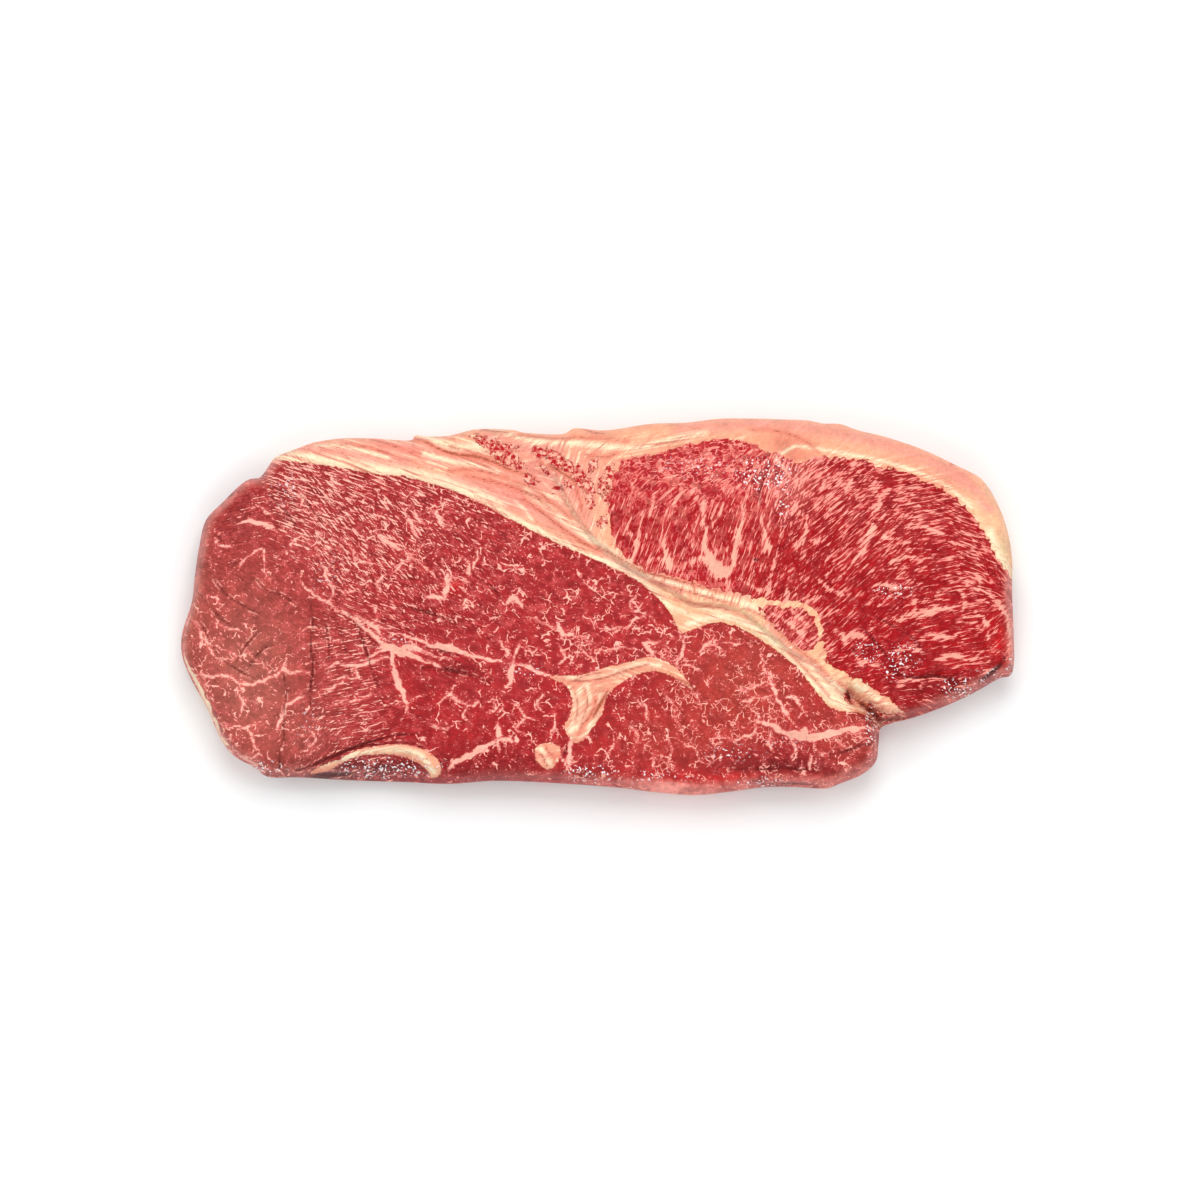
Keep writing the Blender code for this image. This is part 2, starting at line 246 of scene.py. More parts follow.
CAP_VEINS = (
    (1.1, ((103, -3.2), (107, -4.2), (110, -3.4), (113, -2.2), (119, -2))),
    (0.7, ((107, -4.2), (105.6, -1), (107, 2.4))),
    (0.6, ((104.4, -3.6), (101.4, -5.6), (99, -5))),
    (0.9, ((125, 5), (128, 4.4), (131, 3), (135, -1), (137, -5), (138, -11), (137, -17))),
    (0.7, ((128, 4.6), (127.4, 9), (124, 11.6))),
    (1.2, ((79.6, -9.6), (82, -11.2), (82.6, -13.8))),
    (0.8, ((82, -11.2), (86.6, -10.6), (90, -12))),
    (0.8, ((118, 7), (121.6, 4), (123, 0), (121, -4))),
    (0.7, ((91, 5), (95.4, 6.4), (99.6, 4.8), (104, 7))),
    (0.7, ((108, -12), (112.6, -10.4), (117.6, -11.6), (122, -9.4))),
    (0.7, ((98.4, -17), (103.6, -15), (108, -16.4))),
    (0.8, ((113, -19.6), (118.6, -17.4), (124.6, -18.4), (129, -16))),
    (0.7, ((86, -17.6), (90, -20.4), (95, -20))),
    (0.7, ((126.4, -3), (130, -7), (130.4, -12))),
    (0.7, ((73.4, 8), (77.4, 4.4), (81.4, 3))),
    (0.7, ((66, 18), (69.4, 22), (70, 26.4))),
    (0.7, ((100.4, -27.6), (104.6, -25.4), (109, -26))),
    (0.9, ((58, -3.0), (62.6, -5.8), (66.6, -9), (70.4, -13))),
    (0.7, ((64, -2), (67.6, -5), (71.4, -8))),
)
FRONT_MUSCLE_VEINS = (
    (0.50, ((54.6, -16), (56, -22), (58, -27), (60, -32), (63, -37), (66, -41), (69, -43.2))),
    (1.5, ((68.4, -43.4), (69.6, -42.8))),
    (1.25, (
        (53, -39.2), (57, -40.6), (62, -43), (67, -44.6), (72, -45), (78, -43.6), (84, -42.2), (90, -41.8), (94, -42),
    )),
    (0.45, ((63, -28), (65, -31), (68, -34), (70, -38))),
    (0.55, ((53, -39.4), (52.2, -43), (49, -45), (45, -46))),
    (0.40, ((45, -46), (41, -44.6), (37.6, -46))),
    (0.45, ((58, -41.6), (57, -46), (59, -50))),
    (0.45, ((28, -21), (32, -21), (35, -23))),
    (0.50, ((34, -17), (36, -14.2), (38, -13), (39, -11))),
    (0.40, ((36, -14.2), (40, -14.6), (43, -16.4))),
    (0.45, ((41, -13), (45, -13.5), (48, -13))),
    (0.60, ((71, -51), (71, -55.4))),
    (0.50, ((18.5, -51), (19, -56))),
    (0.40, ((45.6, -28), (49, -29), (53, -28), (58, -27))),
    (0.40, ((46, -32), (50, -33), (53, -31.6), (59, -31))),
    (0.35, ((60, -32), (64.6, -31.8), (68, -34))),
    (0.40, ((72, -45), (73, -49), (76, -51.6))),
    (0.40, ((78, -43.6), (80.6, -47), (85, -48.4))),
    (0.45, ((64, -44), (66, -48), (64.6, -52))),
    (0.40, ((84, -42.2), (88, -45), (92, -45.6))),
    (0.35, ((31, -28.6), (34, -32), (35, -36))),
    (0.35, ((22, -30), (25, -33.6), (25.6, -38), (28.4, -42))),
    (0.40, ((12, -31), (16, -34.6), (17, -39), (21, -42))),
    (0.35, ((10, -40), (13, -44), (12, -49))),
    (0.40, ((29, -47), (33, -49), (34, -53), (37.6, -54))),
    (0.35, ((23.6, -45), (25, -50), (23, -54))),
)
LOBE_VEINS = (
    (0.62, (
        (-136, -23.5), (-130, -24), (-124, -24), (-120, -26), (-117, -27), (-112, -26), (-108, -24), (-104, -21.6),
    )),
    (0.50, ((-119.5, -26), (-119.8, -30), (-118.4, -34), (-119.4, -38))),
    (0.60, ((-104, -18), (-105, -22), (-102, -23), (-97.6, -22.6))),
    (0.55, ((-128, -39), (-124, -40.4), (-120, -41), (-117, -41.5), (-112, -39.5))),
    (0.45, ((-117, -41), (-115, -46), (-113, -50), (-110, -54))),
    (0.75, ((-106.6, -42), (-105, -37), (-103, -33.5), (-98, -31))),
    (0.55, ((-136, -5), (-133, -9), (-131, -12.5), (-125, -15))),
    (0.45, ((-128, -6), (-124, -8), (-119, -9), (-117, -10.5))),
    (0.40, ((-125, -15), (-121.6, -17.4), (-122.4, -20))),
    (0.40, ((-131, -12.5), (-128.6, -17), (-124.6, -20))),
    (0.35, ((-112, -20.6), (-116, -17), (-119, -14))),
    (0.60, ((-120.6, -49.6), (-116, -51.4), (-113, -50))),
    (0.45, ((-98, -41), (-94, -45), (-96, -50))),
    (0.40, ((-102, -43), (-98, -44.6))),
    (0.42, ((-91, -35.6), (-86.6, -33), (-80, -32.6), (-74.6, -30))),
    (0.40, ((-93, -29), (-88, -28), (-84, -25.6))),
    (0.40, ((-99, -14.6), (-94, -13), (-88, -13.4))),
    (0.40, ((-100, -10.6), (-97, -8), (-92, -8.6))),
)
LARGE_MUSCLE_VEINS = (
    (0.50, ((-118, 15), (-115, 17), (-112, 18), (-111.5, 11), (-109, 7))),
    (0.40, ((-118, 15), (-120.6, 11.4))),
    (0.85, ((-121, 26.6), (-117, 28), (-114, 27), (-110.4, 26.4), (-107, 24.5))),
    (0.45, ((-128, 22), (-126, 19.6), (-122, 19))),
    (0.45, ((-131, 3), (-127.6, 2), (-126, -1.6))),
    (0.50, ((-114.6, 33), (-111, 31), (-108.6, 28))),
    (0.70, ((-74.6, 24.4), (-71.4, 21.4), (-68.4, 19.2), (-65, 17.4), (-62, 15.6))),
    (0.50, ((-62, 15.6), (-65.4, 12.8), (-69.4, 9.6))),
    (0.30, ((-62, 15.6), (-59.4, 18.6), (-57.6, 20.8))),
    (0.40, ((-62, 15.6), (-62.4, 12), (-61.6, 9.6))),
    (0.35, ((-62, 15.6), (-58, 12.6), (-54.6, 9), (-51.6, 5.4))),
    (0.75, ((-63.6, 28.6), (-61.6, 25.4), (-60, 22.6))),
    (0.60, ((-54, 31), (-52.8, 27.6), (-51, 24.4))),
    (0.45, ((-56.6, 32.4), (-53, 28.6), (-49.6, 30.6))),
    (0.55, ((-81, 15.6), (-77.6, 13.6), (-74, 13.2))),
    (0.60, ((-45.4, 15.6), (-43, 13.4), (-43.4, 10), (-41.6, 8))),
    (0.45, ((-70.6, 9.4), (-73.6, 7), (-72, 3.6))),
    (0.60, ((-92.6, 14.6), (-90.6, 8.6), (-88.6, 5), (-89.6, 0.6))),
    (0.45, ((-88.6, 5), (-84, 3.4), (-80.6, 4.6))),
    (0.80, ((-50.4, 10), (-50.6, 5), (-50.8, 1.2))),
    (0.85, ((-50.8, 1.2), (-53.6, 2.2), (-57.4, 2))),
    (0.55, ((-50, 8), (-46, 8.2), (-43, 6.4))),
    (0.40, ((-45, 8), (-44, 4), (-41, 1.6))),
    (0.85, ((-30.4, -1), (-28, 1.6), (-25, -1))),
    (0.60, ((-62, 32), (-60.6, 28.6), (-58, 26))),
    (0.50, ((-41.6, 20), (-40, 15.6), (-41.4, 12), (-38.6, 8.6))),
    (0.60, ((-100.6, 38), (-98.4, 35.6), (-99.6, 32.6))),
    (0.45, ((-21, -5), (-18, -6.8), (-15, -8), (-12, -10), (-5, -11.5), (-1, -14.5))),
    (0.80, ((-13, -6), (-12.4, -9), (-11.8, -12))),
    (0.42, ((-3, -5), (0, -8), (5, -8.5), (11, -7.5), (13, -5), (17, -4), (20, -8))),
    (0.45, ((-1, -14.5), (4, -16), (8, -14.6), (12, -15.6))),
    (0.40, ((13, -5), (11, -1), (13, 3))),
    (0.75, ((-33, -12), (-31, -15), (-29.6, -18))),
    (0.60, ((-26, -13), (-26.8, -16), (-28, -18.6))),
    (0.80, ((-28.2, -18), (-28.6, -22), (-29.4, -26), (-31, -28.6))),
    (0.40, ((-24, -13.6), (-22, -16.4), (-18, -17))),
    (0.40, ((-13, -14), (-11, -18), (-13, -21))),
    (0.40, ((-6, -13), (-4, -17), (0, -19))),
    (0.40, ((-77, 0), (-73.6, -3), (-74, -6))),
    (0.45, ((-86, 22), (-82, 18.6), (-81, 14))),
    (0.42, ((-98, 22.6), (-94, 19), (-92.6, 14.6))),
    (0.70, ((27, -9), (28.3, -11.6), (28.8, -14.6), (27.6, -18), (26.4, -21.4))),
    (0.85, ((15.2, -12.8), (17, -15), (18.5, -18.2))),
    (0.55, ((15.6, -13.2), (19, -13.4), (21, -12.4))),
    (0.30, ((18.6, -16), (22, -17.6), (26, -20.6))),
    (0.28, ((21.4, -13.6), (24, -17), (26.6, -20.4))),
)
SEAM_VEINS = (
    (0.55, (
        (-104, 10), (-100, 7.6), (-95, 3), (-91, 0.5), (-87, -2), (-80, -5.5), (-75, -6.5), (-70, -8.5), (-65, -10.4),
    )),
    (0.90, ((-65, -10.4), (-60, -12), (-56, -14), (-50, -15), (-45, -16.5), (-40, -18), (-35, -19.3), (-31, -20))),
    (0.65, ((-31, -20), (-25, -20.5), (-22, -22), (-19, -23.5), (-15, -24.7), (-11, -26))),
    (0.75, ((-82, -4.6), (-77, -9), (-72, -13), (-68, -15.6))),
    (0.60, ((-78, -5), (-73, -9.4), (-70.4, -12.6))),
    (1.50, ((-73, -14), (-69.6, -14.8), (-66, -16), (-62.6, -17.2), (-59, -18.6))),
    (0.80, ((-67, -15.4), (-63, -14.8), (-58, -15.6))),
    (0.90, ((-68, -15), (-68.4, -18), (-68.2, -22))),
    (0.70, ((-70, -15.4), (-74, -16.6), (-77.6, -18.6))),
    (0.60, ((-64, -17), (-58, -19.4), (-52.6, -21))),
    (0.85, ((-68.6, -18), (-68, -22), (-66, -28), (-64, -33), (-63, -37))),
    (0.65, ((-70, -17.6), (-75, -19.6), (-81, -21), (-87, -20.6), (-92, -21))),
    (0.55, ((-81, -21), (-80, -24.6), (-77, -27))),
    (0.50, ((-60, -15), (-55, -17.6), (-49, -18.4))),
    (1.00, ((-49.5, -55.5), (-48, -54), (-45, -52), (-38, -48.5), (-34, -46))),
    (0.80, ((-34, -46), (-32.6, -42.6), (-33.6, -40))),
    (0.70, ((-34, -46), (-30, -45.6), (-27.6, -47.6))),
    (0.60, ((-34, -46), (-33, -49.6))),
    (0.45, ((-54, -34), (-49.6, -30.6), (-47, -27))),
    (0.55, ((-51, -29), (-46.6, -32.6), (-43, -34.4), (-39.6, -32.6))),
    (0.45, ((-43, -34.4), (-44.6, -38), (-42, -41))),
    (0.50, ((-30, -33), (-26, -34.6), (-24, -38), (-20.6, -39))),
    (0.42, ((-24, -38), (-26.6, -41.6), (-24, -44.6))),
    (0.45, ((-18, -30), (-20, -34), (-17.6, -37))),
    (0.45, ((-56, -40), (-52, -42), (-47.6, -41))),
    (0.40, ((-37, -37), (-34, -35), (-35, -31))),
    (0.45, ((-15, -36), (-14, -41), (-16, -44))),
    (0.40, ((3, -50), (6, -47), (5, -43.6))),
    (0.80, ((-8.4, -45), (-9.4, -47.6), (-9.0, -51), (-9.6, -55))),
    (0.45, ((-12.6, -51), (-10.8, -53), (-11, -55.6))),
)
RIM_LINES = (
    (0.95, (
        (-139.4, -14), (-138, -19), (-135.4, -24.2), (-132.6, -29.8), (-130.2, -35), (-127.8, -40),
        (-125.6, -44.8), (-122, -49.2), (-118, -52),
    )),
    (0.32, ((-135.4, -18), (-132.6, -24), (-129.8, -30), (-127.2, -36), (-124.6, -42), (-121.6, -46))),
    (0.60, ((-121.5, -50), (-116, -52.6), (-111.6, -55.8))),
    (0.50, ((-139.2, -10), (-138, -5), (-136.2, 1))),
)
VEINS = CAP_VEINS + FRONT_MUSCLE_VEINS + LOBE_VEINS + LARGE_MUSCLE_VEINS + SEAM_VEINS + RIM_LINES

# Pale ridges and salmon channels that run along the fat, as half width and then their course
CREAM_LINES = (
    (1.2, ((-138, -17), (-134.6, -24), (-131.6, -30), (-129, -35), (-126.6, -40), (-124.6, -44.6), (-121, -49))),
    (1.9, (
        (-106, 49.6), (-95, 48.4), (-85, 47), (-75, 45), (-65, 44), (-55, 41.6), (-46, 38.6), (-40, 36), (-33, 32.2),
    )),
    (1.0, ((-33, 31.2), (-25, 27), (-15, 22), (-5, 17.4), (5, 12.6), (13.6, 8.1), (18.6, 4.4), (23, 0))),
    (1.3, ((-60, 58), (-55, 55.4), (-50, 53), (-45, 52.4), (-40, 52.5))),
    (1.0, (
        (-40, 60), (-33, 58.3), (-27, 56), (-22, 54.8), (-14, 54), (-5, 53.5), (5, 52.4), (12, 52), (20, 53.6),
        (28, 55.6), (36, 57),
    )),
    (1.2, ((-24, 37.8), (-18, 33.8), (-12, 28.6), (-6, 24), (0, 20), (5, 16.8), (10, 13.6), (15, 11))),
    (1.1, ((15, 10.4), (26, 6.4), (38, 2.4), (44, 1.2), (50, -0.6), (55, -3))),
    (0.8, ((-58, 50.5), (-48, 47.6), (-40, 46.6), (-33, 44))),
    (1.2, ((-2, -1), (6, 3))),
    (0.9, ((30, -7), (37, -5), (44, -4.8), (50, -6.8), (57.7, -12.2), (63, -17), (68, -22), (73, -28), (78, -32.6))),
    (0.8, ((77, -25), (81, -28.4), (87, -31.4), (93, -33.6), (99, -35.4), (105, -36.4))),
    (0.6, ((86, -33.6), (92, -35.4), (98, -36.8), (103, -37))),
    (1.7, ((71, -24), (75.4, -29), (79, -32.4), (84, -34.6))),
    (1.0, ((86, -27.4), (92, -31), (98, -35), (104, -37.4))),
    (0.8, ((-92, -54), (-84, -51.2), (-76, -49.6), (-68, -49), (-61, -50), (-57, -53), (-54.6, -56.6))),
    (0.8, ((-10, -25.4), (0, -24.4), (8, -22.4), (15, -20.4), (21, -20.8))),
    (0.9, ((-4, -27), (-3, -33), (-4.6, -38), (-7, -42))),
    (0.9, ((-10, -28), (-7, -32), (-7, -38), (-9, -43))),
    (0.6, ((1, -31), (0.4, -36), (-3, -41.6))),
    (1.3, ((-18.8, -49.2), (-17.4, -52), (-16.2, -54))),
    (0.5, (
        (54, 50.6), (60, 49.6), (66, 52.6), (72, 52), (80, 50.6), (90, 48.8), (100, 46.4), (110, 42.6),
        (118, 38.4), (125, 32),
    )),
    (1.5, ((131, 24), (132.6, 19.6), (135, 15), (137.6, 11))),
    (1.4, ((-105.6, 49), (-108, 49.6))),
    (0.7, ((-95, 53), (-86, 53), (-78, 51), (-70, 49))),
)
SALMON_LINES = (
    (2.6, ((-97, 51.6), (-88, 51), (-80, 49), (-72, 47.6), (-64, 47))),
    (2.6, ((-50, 41.6), (-42, 40.4), (-34, 37.6), (-26, 33.6), (-18, 29.6), (-10, 25), (-4, 21.4))),
    (3.0, ((-72, 53.4), (-62, 52), (-54, 48.6), (-44, 48.6), (-36, 45.6))),
    (2.4, ((-36, 56), (-26, 53), (-14, 51.6))),
    (1.7, ((0, 16.4), (9, 12), (15, 9.4), (22, 6.6), (28, 4.6))),
    (1.2, ((26, 7.4), (34, 5.6), (42, 4.2), (50, 1.8))),
    (2.6, ((28, 58.6), (44, 60), (58, 60), (70, 59), (86, 56), (100, 52), (114, 46), (124, 40), (131, 32))),
    (1.3, ((57, -7), (62, -13), (68, -18.6), (74, -22.6), (80, -29), (86, -32.6))),
    (1.0, ((88, -34.4), (94, -35), (100, -36.4))),
    (1.4, ((-22, 44), (-14, 41), (-8, 37), (-5, 31), (-2, 26))),
    (1.4, ((-30, 46.6), (-24, 46), (-20, 48))),
    (2.0, ((122, 42.6), (120.6, 41))),
)

# Where the rim's fat is plain and has hardly any streaks
PLAIN_RIM = (
    (6.0, ((-30, 62), (0, 61), (30, 62), (60, 61), (85, 57), (105, 52), (122, 44), (132, 32), (137.5, 18))),
    (6.0, ((54, 57), (62, 55), (69, 53), (78, 55))),
)

# Creases, cracks and thin gaps, sunk in the relief and painted dark as the shade in them: half width and then their
# course
CREASES = (
    (0.42, (
        (-64.6, 57.6), (-62, 55.8), (-58, 54.8), (-55, 53), (-50, 50.9), (-44, 49.8), (-40, 49.3), (-35, 47.8),
        (-32, 46.3), (-28.5, 44.8), (-24, 43.8), (-21, 42.4),
    )),
    (0.35, ((-16.5, 47), (-12, 44), (-8, 41.5), (-6, 39.5))),
    (0.16, ((-76, 55.7), (-68, 53), (-62, 50.5), (-58, 48))),
    (0.14, ((-50, 44.5), (-42, 45), (-33, 43), (-30, 42))),
    (0.18, ((-44, 43), (-37, 41.5), (-30, 39.5), (-24, 37), (-20, 35.2), (-14, 30.4))),
    (0.14, ((-86, 54), (-78, 52.6), (-70, 50.6))),
    (0.22, ((-25, 35.4), (-20, 31.6), (-14, 26.8), (-8, 22.6), (-3, 19.4), (1, 17.4))),
    (0.28, ((0, 19), (5, 16.4), (10, 13.6), (15, 11), (18, 9.9), (26, 7.9), (34, 5.8), (42, 3.6))),
    (0.14, ((18, 7.4), (28, 4.4), (38, 1.6), (46, -0.6))),
    (0.12, ((26, 1.4), (34, -0.6), (42, -2), (50, -5))),
    (0.18, ((50, -2), (57, -5.4), (62, -11), (68, -16.4), (73, -20), (77, -24.4))),
    (0.16, ((64, -17), (69, -22), (73, -26.4), (77, -31))),
    (0.10, ((51.6, 58.2), (56, 58.4), (60, 57.8), (65, 56.5), (70, 54), (74, 50.6))),
    (0.25, ((-5, 60.6), (-2, 58), (2, 57.4))),
    (0.25, ((-40, 60.2), (-36, 58.4), (-30, 57.6))),
    (0.22, ((120, 48.2), (118.4, 46.6))),
    (0.34, ((-58.5, -21.4), (-54, -21.6), (-50, -22.2), (-45, -23.2), (-40, -24.8), (-36, -26.6))),
    (0.36, ((-64, -1), (-58, -2.6), (-54, -4), (-49, -6))),
    (0.30, ((-57, -14.6), (-51, -16.2), (-46, -17.4))),
    (0.30, ((-84, -3), (-80, -8.6), (-78, -14), (-76.4, -19), (-75, -24), (-73, -28))),
    (0.22, ((-80.6, -7), (-76, -11.6), (-72, -15))),
    (0.28, ((-96.4, 1), (-95.2, -5), (-95.8, -14), (-95.2, -22), (-96.2, -31), (-95, -37))),
    (0.26, ((-105, -22), (-104.2, -30), (-104.9, -38), (-104.8, -45), (-106, -50), (-106.4, -55.6))),
    (0.14, ((-88.4, -4), (-86, -9), (-84.4, -15), (-83, -21), (-82.4, -27))),
    (0.12, ((-91.6, -3), (-90.4, -9), (-89.6, -16), (-90.4, -23))),
    (0.22, ((-121, -19.6), (-118.4, -15), (-115, -11), (-112, -8))),
    (0.22, ((-127, -18), (-122, -21), (-118, -23.4), (-114, -25.4))),
    (0.20, ((-117, -22), (-114.6, -18), (-111, -14.6), (-108, -14))),
    (0.20, ((-134, 4), (-129.6, -1), (-125, -5.6), (-121, -8))),
    (0.20, ((-136, -3), (-132, -7.6), (-130, -12), (-127, -17))),
    (0.20, ((-129, 9), (-124, 3), (-118, -1), (-112, -3.6))),
    (0.32, ((-110, 37), (-106.4, 33), (-103, 29), (-100, 25), (-97, 22))),
    (0.22, ((-104, 40), (-99, 36), (-95, 31), (-91, 27))),
    (0.20, ((-98, 41), (-92, 36.6), (-87, 33), (-81, 31))),
    (0.20, ((-114, 8), (-110, 4), (-105, 2.6), (-100, -1))),
    (0.60, ((-101, -55.6), (-96, -54.2), (-90, -51.8), (-85, -49.6), (-80, -47.6), (-75, -46), (-70, -44.6))),
    (0.35, ((-70, -44.6), (-66, -43.8), (-60, -43.6))),
    (0.90, ((-96.6, -57.2), (-90, -57), (-83, -56.4))),
    (0.26, ((-10.8, -46), (-10.4, -48.6), (-11.6, -51.6))),
    (0.22, ((-20.4, -50), (-18.4, -51), (-17.6, -53.4), (-16, -55.2))),
    (0.16, ((-17.6, -47.6), (-16.2, -50), (-14.6, -51.4), (-14.4, -53))),
    (0.16, ((-1, -31), (-0.8, -34), (-2.6, -38), (-5, -41), (-6.4, -44))),
    (0.16, ((-14, -25), (-7, -26.2), (1, -25.4), (9, -22.8), (17, -20.6))),
    (0.14, ((-8, -28.6), (-6.6, -34), (-7.4, -40))),
    (0.12, ((-4.4, -28), (-3.4, -34), (-5.6, -40.6))),
    (0.14, ((-10, -27), (-3, -24), (5, -23))),
    (0.24, ((-92, -51.8), (-84, -49.4), (-77, -47.6), (-70, -46.8), (-63, -46.8), (-57.4, -48.6))),
    (0.14, ((84, -33.4), (90, -34.6), (96, -36), (102, -37.6))),
    (0.12, ((80, -26.4), (88, -31.6), (96, -34.6), (103, -36.6))),
    (0.30, ((89, -36.4), (94, -38.2), (99, -38.6), (104, -37.8))),
    (0.12, ((-26, 57), (-14, 55.6), (-2, 55.6), (10, 54.4))),
    (0.14, ((-28, 41), (-22, 38.6), (-15, 33.6), (-9, 28.6))),
    (0.12, ((-4, 50), (2, 49), (7, 50.4))),
    (0.16, ((-20, 47.6), (-14, 45), (-9, 42), (-6.6, 37), (-5.4, 32))),
    (0.32, ((77.6, -50.6), (83, -49.5), (88, -47.5), (92, -47))),
    (0.30, ((44, -55.6), (54, -55.6), (62, -55), (70, -56), (78, -57))),
    (0.36, ((54, -60.2), (60, -60.2), (66, -60.0), (73, -60.4))),
    (0.45, ((100, -24), (106, -24.8), (112, -24.2), (117, -25), (122, -26.6))),
    (0.70, ((127, -26), (129.6, -24.6), (132.2, -22.6), (134.8, -20.2), (136.4, -17.4))),
    (0.32, ((88, -8), (92, -12), (96, -17), (99, -20.6))),
    (0.28, ((101, -9), (105.6, -12), (108, -16))),
    (0.26, ((92, -4), (97, -6.6), (101, -9))),
    (0.34, ((54.6, 33), (54, 37), (55.6, 41.6))),
    (0.40, ((105, -37.6), (100, -37.9), (96, -38.6), (92.6, -36.6))),
    (0.80, ((86, -31.6), (90, -34.6), (93, -37.2), (96, -41))),
    (0.60, ((83.2, -28.8), (84.0, -31.0), (84.4, -33.2))),
    (0.45, ((51.6, 15.4), (53, 14.4), (54.6, 14.4))),
    (0.50, ((3.4, -29.6), (1.6, -32.6), (0, -35.6), (-1.6, -38.4))),
    (0.30, ((-32.6, 2), (-34.6, 5), (-37, 7))),
    (0.30, ((32.6, -29), (29.6, -26.8), (26.6, -25.4))),
)

# How the meat's colour shifts from place to place: x, y, reach along x, reach along y, colour, strength. The upper left
# corner and the hollow patches are painted shade, and the dark patches by the front edge, in the dark crease and at the
# cleft are dark meat and painted shade.
LARGE_TONES = (
    # Painted shade: the upper left corner made darker
    (-120.0, 28.0, 22.0, 24.0, "lean_shadow", 0.8),
    (-117.0, -24.0, 24.0, 36.0, "lean_brown", 1.0),
    (-136.0, 10.0, 6.0, 30.0, "lean_brown", 0.8),
    (-139.0, 6.0, 3.0, 18.0, "fat_line", 0.8),
    (-98.0, -46.0, 12.0, 12.0, "lean_brown", 0.5),
    (-84.0, -24.0, 12.0, 22.0, "lean_pink", 0.5),
    (-98.0, 24.0, 14.0, 14.0, "lean_pink", 0.55),
    (-60.0, -34.0, 14.0, 14.0, "lean_deep", 0.5),
    (-28.0, -45.0, 30.0, 14.0, "lean_deep", 0.65),
    (-36.0, -54.0, 18.0, 6.0, "lean_dark", 0.6),
    (-48.0, -21.8, 8.0, 2.4, "lean_dark", 0.6),
    (12.0, -36.0, 16.0, 10.0, "lean_deep", 0.45),
    (50.0, -26.0, 24.0, 20.0, "lean_dun", 0.9),
    (28.0, -46.0, 26.0, 12.0, "lean_dun", 0.5),
    (84.0, -46.0, 12.0, 12.0, "lean_dun", 0.9),
    (62.0, -54.0, 22.0, 5.0, "lean_dark", 0.85),
    (34.0, -59.5, 40.0, 2.6, "lean_bright", 0.5),
    (-89.0, -57.0, 10.0, 3.2, "hollow", 0.95),
    (-70.0, -55.5, 16.0, 3.6, "lean_dark", 0.8),
    (-48.0, 5.6, 3.0, 2.6, "lean_bright", 0.55),
    (10.0, 2.0, 14.0, 10.0, "lean_deep", 0.15),
    (-100.0, -57.0, 10.0, 2.4, "lean_dark", 0.7),
    (97.0, -38.6, 6.0, 2.4, "hollow", 0.9),
)
CAP_TONES = (
    (30.0, 46.0, 26.0, 8.0, "lean_pink", 0.35),
    (40.0, 44.0, 10.0, 8.0, "lean_deep", 0.3),
    (64.0, 40.0, 6.0, 8.0, "lean_rose", 0.4),
    (118.0, -29.0, 22.0, 5.0, "lean_dark", 0.6),
    (100.0, -40.0, 10.0, 3.0, "lean_dark", 0.8),
    (134.6, -13.0, 3.0, 7.0, "lean_bright", 0.6),
    (139.0, -12.0, 1.8, 8.0, "lean_rose", 0.9),
)
# How the fat's colour shifts from place to place; the dark patches at the cleft are painted shade
FAT_TONES = (
    (-75.0, 52.0, 34.0, 6.0, "fat_salmon", 0.6),
    (-15.0, 42.0, 26.0, 14.0, "fat_salmon", 0.75),
    (-12.0, 57.0, 30.0, 4.0, "fat_peach", 0.8),
    (-30.0, 35.6, 16.0, 5.0, "fat_salmon", 0.7),
    (15.0, 10.6, 10.0, 3.0, "fat_salmon", 0.8),
    (40.0, 0.0, 30.0, 9.0, "fat_yellow", 0.6),
    (60.0, -11.0, 14.0, 9.0, "fat_yellow", 0.8),
    (76.0, -27.0, 14.0, 10.0, "fat_yellow", 0.8),
    # Painted shade in the cleft's slit and along its lower edge
    (84.4, -30.6, 1.3, 2.4, "lean_dark", 1.0),
    (92.0, -38.6, 4.0, 2.0, "lean_dark", 1.0),
    (99.0, -39.0, 6.5, 1.9, "lean_deep", 1.0),
    (135.5, 16.0, 4.0, 9.0, "fat_yellow", 1.0),
    (129.0, 33.0, 8.0, 8.0, "fat_yellow", 0.8),
    (63.0, 54.0, 8.0, 4.0, "fat_rose", 0.75),
    (66.0, 49.0, 6.0, 3.0, "fat_rose", 0.7),
    (121.0, 42.0, 4.0, 3.0, "fat_rose", 0.6),
    (2.0, -28.0, 26.0, 16.0, "fat_tan", 0.85),
    (-7.0, -42.0, 8.0, 8.0, "fat_tan", 0.8),
    (-74.0, -51.0, 24.0, 6.0, "fat_tan", 0.7),
    (-16.0, -51.0, 6.0, 6.0, "fat_tan", 0.9),
    (-12.5, -53.5, 3.5, 3.5, "fat_rose", 0.7),
)

